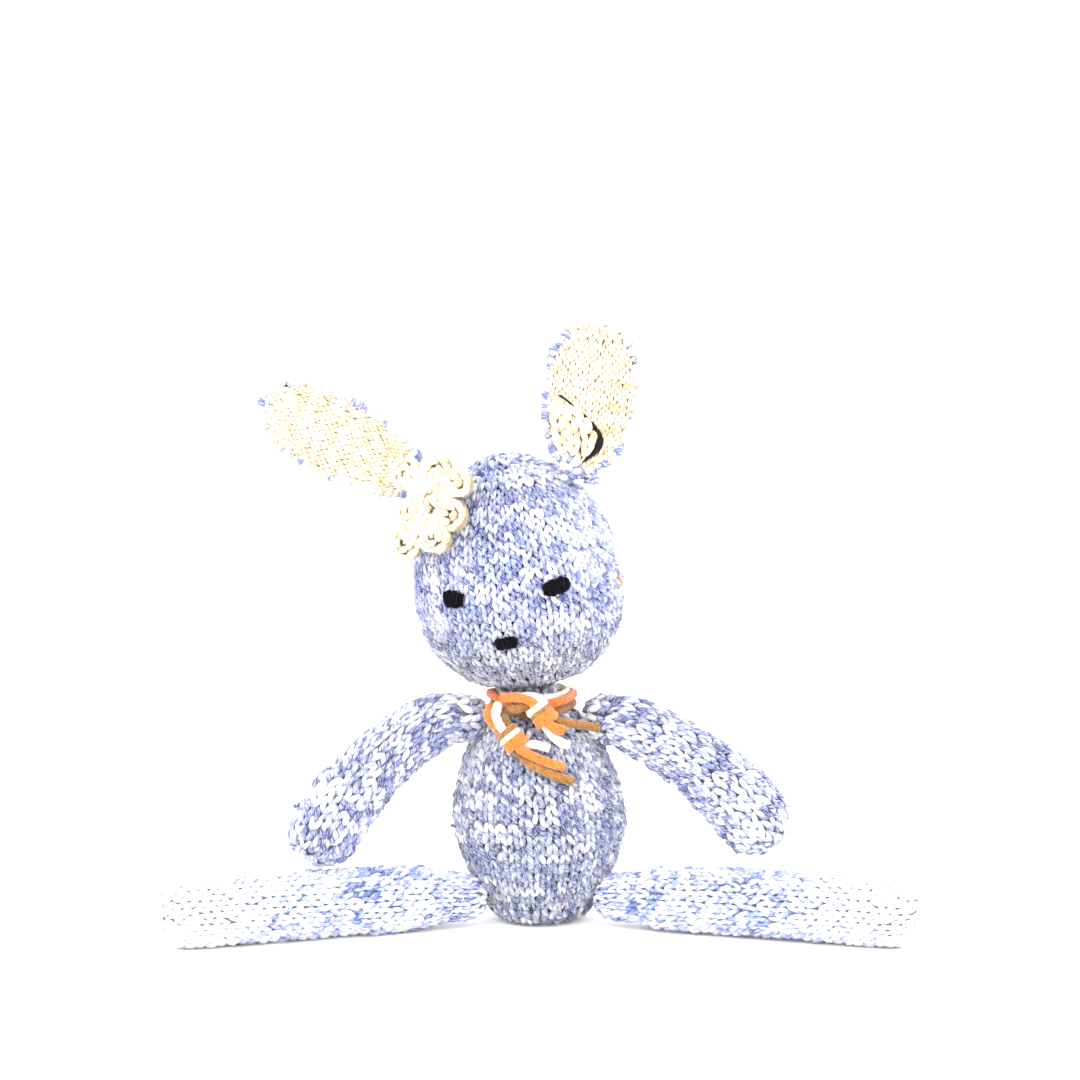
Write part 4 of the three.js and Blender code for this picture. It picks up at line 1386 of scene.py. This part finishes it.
def make_flower():
    out = unit(np.array([-0.5, -0.82, 0.28]))
    across = unit(np.cross((0, 0, 1), out))
    along = np.cross(out, across)
    point, _ = on_head(-52, 48)
    centre = point + np.array([-1.6, -6, 5])
    roll = np.random.RandomState(81)
    wool = Wool()
    g = grain()
    s = g["along"]

    def spot(x, y, h):
        x, y, h = np.broadcast_arrays(x, y, h)
        return centre + x[..., None] * across + y[..., None] * along + h[..., None] * out

    def mound(x, y, wide, tall, high):
        turn = np.linspace(0, 2 * math.pi, 17)[:-1]
        rings = [spot(x + wide * r * np.cos(turn), y + tall * r * np.sin(turn), h)
                 for r, h in ((0.01, high), (0.65, high * 0.85), (1, high * 0.4), (1, 0.1), (0.01, -0.2))]
        # painted shade: each mound is tan darkened to 0.75, for the shade that shows between the loops
        lay_form(wool, Fabric(np.stack(rings)), shade("tan") * 0.75)

    def loops(x, y, radius, h, count, thick, reach, skew=0.0):
        """A ring of fat loops round a place."""
        turn = (np.arange(count) + roll.uniform(-0.2, 0.2, count)) / count * 2 * math.pi
        size = radius * roll.uniform(0.86, 1.12, count)
        swing = (s[None] - 0.5) * reach / np.maximum(size, 1.4)[:, None]
        lean = skew * (s[None] - 0.5) * 2
        spread = size[:, None] + lean + 0.5 * np.sin(math.pi * s[None])
        high = h + 1.2 * np.sin(math.pi * s[None]) + roll.uniform(-0.5, 0.7, (count, 1))
        angle = turn[:, None] + swing
        centres = spot(x + spread * np.cos(angle), y + spread * np.sin(angle), high)
        ups = np.broadcast_to(unit(out + 0 * centres), centres.shape)
        yarn_at = roll.uniform(0, 40) + np.arange(count) * 0.8
        plies = cream_yarn(yarn_at, 9.5)
        lay_grains(wool, g, centres, ups, thick * roll.uniform(0.85, 1.2, count), plies[0], plies[1])

    mound(0, -0.5, 10.5, 14.5, 3.0)
    for x, y, radius, stand in LOBES:
        mound(x, y, radius * 0.92, radius * 0.92, 1.5 + stand)
        way = unit(np.array([x, y]))
        far = math.hypot(x, y)
        for k in (-1, 0, 1):
            t = np.linspace(0, 1, 8)
            reach = 3.6 + (far - 3.6) * t
            aside = k * (1.2 + 2.0 * t) + roll.uniform(-0.4, 0.4)
            high = 2.2 + stand * t + 1.5 * np.sin(math.pi * (0.1 + 0.7 * t)) + roll.uniform(-0.3, 0.5)
            line = spot(way[0] * reach - way[1] * aside, way[1] * reach + way[0] * aside, high)
            plies = cream_yarn(roll.uniform(0, 60, 1), 9.0)
            thick = 1.3 * roll.uniform(0.9, 1.2) * np.array([0.7, 0.9, 1, 1.05, 1.1, 1.05, 0.95, 0.7])
            lay_strand(wool, line, thick, plies[0][0], plies[1][0], sides=7, up=out)
        loops(x, y, radius * 0.78, 1.4 + stand, int(round(radius * 1.5)), 1.6, 5.6, skew=0.6)
        loops(x, y, radius * 0.36, 2.4 + stand, 4, 1.55, 3.6, skew=-0.3)
    # the worked middle: thick stitches in crooked columns
    count, column = 64, 2.9
    x, y = roll.uniform(-8, 8, (count, 1)), roll.uniform(-12, 11, (count, 1))
    x = np.round(x / column) * column + roll.uniform(-0.5, 0.5, (count, 1))
    way = roll.normal(0, 0.35, (count, 1)) + np.where(np.round(x / column) % 2 == 0, 0.35, -0.35)
    centres = spot(x + np.sin(way) * (s - 0.5) * 5, y + np.cos(way) * (s - 0.5) * 5,
                   3.0 - 0.012 * (x * x + y * y) + 1.8 * np.sin(math.pi * s)
                   + roll.uniform(0, 0.9, (count, 1)))
    plies = cream_yarn(np.arange(count) * 1.3, 4.0)
    lay_grains(wool, g, centres, unit(out + 0 * centres), roll.uniform(1.1, 1.6, count), plies[0], plies[1])
    hairs, height = 420, 2.6
    place = spot(*(roll.uniform(-1, 1, (2, hairs)) * np.array([[15], [20]])), np.full(hairs, height))
    away = [place - spot(x, y, height) for x, y, _, _ in LOBES]
    near = np.array([np.hypot(gap @ across, gap @ along) < lobe[2] * 1.05
                     for gap, lobe in zip(away, LOBES)]).any(0)
    place = place[near]
    halo(wool, place, np.repeat(out[None], len(place), 0), 82,
         np.array([shade("cream"), shade("cream") * 1.1, shade("tan")]), stand=2.2)
    piece = wool.piece("flower_crochet", [finish("cream_wool")])
    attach(piece, "head")
    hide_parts("crochet_flower")


# ------------------------------------------------------------------ tie
KNOT_LENGTH = 7.2
COLLARS = {"cream": (12.7, 89.4), "orange": (16.0, 87.6), "brown": (15.2, 83.9)}
KNOTS = {
    "upper": dict(centre=(0.4, -24.8, 86.4), way=(0.62, -0.05, -0.78),
                  into=dict(orange=265, cream=150, brown=20), out_of=dict(orange=270, brown=150, cream=30)),
    "lower": dict(centre=(-11, -26.6, 77.2), way=(0.65, -0.1, -0.75),
                  into=dict(orange=30, cream=270, brown=150), out_of=dict(orange=270, cream=150, brown=30)),
}
LEADS = {
    "upper": dict(orange=[(-14.3, -20.3, 91.3), (-8.5, -24.4, 92.4)],
                  cream=[(-9.6, -19.6, 91.1), (-5.2, -21.8, 92.2)],
                  brown=[(-12, -20.8, 87.2), (-8.8, -23.2, 87.4)]),
    "lower": dict(orange=[(-19, -17.6, 87.6), (-19.8, -22, 84)],
                  cream=[(-16, -20, 88.6), (-16.8, -25, 85.2)],
                  brown=[(-13.8, -19.9, 84.6)]),
}
TAILS = {
    "upper": dict(orange=[(6.2, -27.6, 80.9), (9.3, -27.4, 80.3)],
                  cream=[(4.6, -25.2, 77.8), (8, -27.4, 75.4), (11, -28.4, 74.6)],
                  brown=[(10.5, -22.4, 82.2), (16.5, -19.8, 80.6), (22.3, -16.6, 78.9)]),
    "lower": dict(orange=[(-2.5, -30, 70.6), (3.4, -30.4, 68.2), (9.5, -30, 66.3)],
                  cream=[(-1.6, -26.6, 74.4), (3.6, -27.2, 73)],
                  brown=[(-4.5, -28.8, 68), (1, -30.2, 65.2), (6.6, -30.6, 62.9), (12.4, -29.6, 61)]),
}


def knot_frame(knot):
    way = unit(np.array(knot["way"]))
    sideways = unit(np.cross((0, 1, 0), way))
    return way, sideways, np.cross(way, sideways)


def knot_end(knot, degrees, sense):
    """Where a strand meets a knot's end, and a little further out."""
    way, sideways, upright = knot_frame(knot)
    angle, spread = math.radians(degrees), STRAND / 2 + 0.6
    face = (np.array(knot["centre"]) + way * sense * (KNOT_LENGTH / 2 + 0.3)
            + sideways * spread * math.cos(angle) + upright * spread * math.sin(angle))
    return face, face + way * sense * 1.6


def make_tie():
    for colour, (radius, height) in COLLARS.items():
        wool = Wool()
        turn = np.linspace(0, 2 * math.pi, 73)[:-1] + math.pi / 2
        reach = radius + 0.35 * np.sin(turn * 5 + height)
        saddle = 0.4 if colour == "cream" else 1.4
        line = np.stack([NECK[0] + reach * np.cos(turn), reach * np.sin(turn),
                         height + 0.4 * np.sin(turn * 3 + radius) + saddle * np.cos(turn) ** 2], 1)
        thick = STRAND / 2 * (1 + 0.3 * (wander(line, 3.5, radius) - 0.5))
        closed_strand(wool, line, thick[:, None, None])
        fibres(wool, line, shade("felt" if colour == "cream" else colour), int(radius))
        ring = wool.piece(f"neck_turn_{colour}", [finish(f"{colour}_felt")])
        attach(ring, "torso")
        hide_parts(f"collar_{colour}")
    for end, knot in KNOTS.items():
        wraps = knot_wraps(end, knot)
        loose = Wool()
        for colour in ("orange", "cream", "brown"):
            in_face, in_stub = knot_end(knot, knot["into"][colour], -1)
            out_face, out_stub = knot_end(knot, knot["out_of"][colour], 1)
            points = [*LEADS[end][colour], in_stub, in_face, out_face, out_stub, *TAILS[end][colour]]
            line = curve(points, 34)
            strand = felt_strand(f"tie_{end}_{colour}_strand", line, finish(f"{colour}_felt"))
            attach(strand, "torso")
            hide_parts(f"tie_{end}_{colour}_lead", f"tie_{end}_{colour}_tail")
            long(line) * MM
            fibres(loose, line, shade("felt" if colour == "cream" else colour), int(line[0, 2] * 7) % 97,
                   finish=FELTS.index(colour))
        loose = loose.piece(f"tie_{end}_loose_fibres", [finish(f"{n}_felt") for n in FELTS])
        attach(loose, "torso")


def fibres(wool, line, tone, seed, finish=0):
    """Loose fibres that stand off a felted strand."""
    roll = np.random.RandomState(seed)
    line = even(line, int(long(line) * 4))
    aside = unit(np.cross(roll.normal(size=line.shape), np.gradient(line, axis=0)))
    halo(wool, line, aside, seed, np.array([tone, tone * 1.2]), stand=STRAND / 2, length=(0.8, 2.6),
         radius=0.07, finish=finish)


def felt_strand(name, line, material):
    data = bpy.data.curves.new(name, "CURVE")
    data.dimensions = "3D"
    spline = data.splines.new("POLY")
    spline.points.add(len(line) - 1)
    spline.points.foreach_set("co", np.hstack([line * MM, np.ones((len(line), 1))]).ravel())
    spline.points.foreach_set("radius", 1 + 0.3 * (wander(line, 3.0, line[0, 0]) - 0.5))
    data.bevel_depth = STRAND / 2 * MM
    data.bevel_resolution = 4
    data.use_fill_caps = True
    spline.use_smooth = True
    data.materials.append(material)
    strand = bpy.data.objects.new(name, data)
    bpy.context.collection.objects.link(strand)
    return strand


def closed_strand(wool, line, radius):
    """A strand whose two ends meet."""
    count, sides = len(line), 10
    along = unit(np.roll(line, -1, 0) - np.roll(line, 1, 0))
    beside = unit(np.cross((0, 0, 1), along))
    over = np.cross(along, beside)
    turn = turns(sides)
    rings = line[:, None] + radius * (np.cos(turn)[None, :, None] * beside[:, None]
                                      + np.sin(turn)[None, :, None] * over[:, None])
    i, k = np.meshgrid(np.arange(count), np.arange(sides), indexing="ij")
    i, k = i.ravel(), k.ravel()
    m, n = (i + 1) % count, (k + 1) % sides
    quads = np.stack([i * sides + k, i * sides + n, m * sides + n, m * sides + k], 1)
    tone = np.full((count * sides, 3), 0.5)
    wool.add(rings.reshape(-1, 3), quads, np.zeros((len(quads), 4, 2)), tone, tone)


WRAPS = {"upper": ("cream", "brown", "orange", "orange"), "lower": ("brown", "cream", "orange", "orange")}


def knot_wraps(end, knot):
    """Each knot: the three strands wound over one another."""
    way, sideways, upright = knot_frame(knot)
    centre = np.array(knot["centre"])
    tone = np.full(3, 0.5)
    wool = Wool()
    for k, colour in enumerate(WRAPS[end]):
        start = -2.9 + k * 1.9
        turn = np.linspace(0, 2.25 * math.pi, 30)
        radius = 3.3 + 0.25 * np.sin(turn * 2 + k)
        line = (centre + way * (start + 0.9 * turn / (2 * math.pi) + 0.5 * np.sin(turn + k))[:, None]
                + sideways * (radius * np.cos(turn + k * 1.1))[:, None]
                + upright * (radius * np.sin(turn + k * 1.1))[:, None])
        lay_strand(wool, line, 1.62, tone, tone, sides=9, finish=FELTS.index(colour), up=way)
    core = centre + way * np.linspace(-3.2, 3.2, 6)[:, None]
    lay_strand(wool, core, 2.6, tone, tone, sides=10, finish=1)
    piece = wool.piece(f"tie_knot_{end}_wraps", [finish(f"{n}_felt") for n in FELTS])
    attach(piece, "torso")
    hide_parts(f"tie_knot_{end}")
    return piece


# ------------------------------------------------------------------ panel
STEPS = (RABBIT_OT_stage, RABBIT_OT_tie, RABBIT_OT_body, RABBIT_OT_head, RABBIT_OT_arms, RABBIT_OT_legs,
         RABBIT_OT_ears, RABBIT_OT_face, RABBIT_OT_flower, RABBIT_OT_inside)


class RABBIT_PT_panel(bpy.types.Panel):
    """Sizes, colours and one button for each part"""
    bl_idname = "RABBIT_PT_panel"
    bl_label = "Knitted Rabbit"
    bl_space_type = "VIEW_3D"
    bl_region_type = "UI"
    bl_category = "Knitted Rabbit"

    def draw(self, context):
        scene = context.scene
        for group in (scene.rabbit_gauge, scene.rabbit_shape, scene.rabbit_colours):
            box = self.layout.box()
            for name in group.__annotations__:
                box.prop(group, name)
        for step in STEPS:
            self.layout.operator(step.bl_idname)


CLASSES = (RabbitGauge, RabbitShape, RabbitColours, *STEPS, RABBIT_PT_panel)


def register():
    for cls in CLASSES:
        bpy.utils.register_class(cls)
    bpy.types.Scene.rabbit_gauge = PointerProperty(type=RabbitGauge)
    bpy.types.Scene.rabbit_shape = PointerProperty(type=RabbitShape)
    bpy.types.Scene.rabbit_colours = PointerProperty(type=RabbitColours)


def unregister():
    for name in ("rabbit_gauge", "rabbit_shape", "rabbit_colours"):
        delattr(bpy.types.Scene, name)
    for cls in reversed(CLASSES):
        bpy.utils.unregister_class(cls)


def main():
    register()
    bpy.ops.rabbit.stage()
    bpy.ops.rabbit.tie()
    bpy.ops.rabbit.body()
    bpy.ops.rabbit.head()
    bpy.ops.rabbit.arms()
    bpy.ops.rabbit.legs()
    bpy.ops.rabbit.ears()
    bpy.ops.rabbit.face()
    bpy.ops.rabbit.flower()
    bpy.ops.rabbit.inside()


if __name__ == "__main__":
    main()
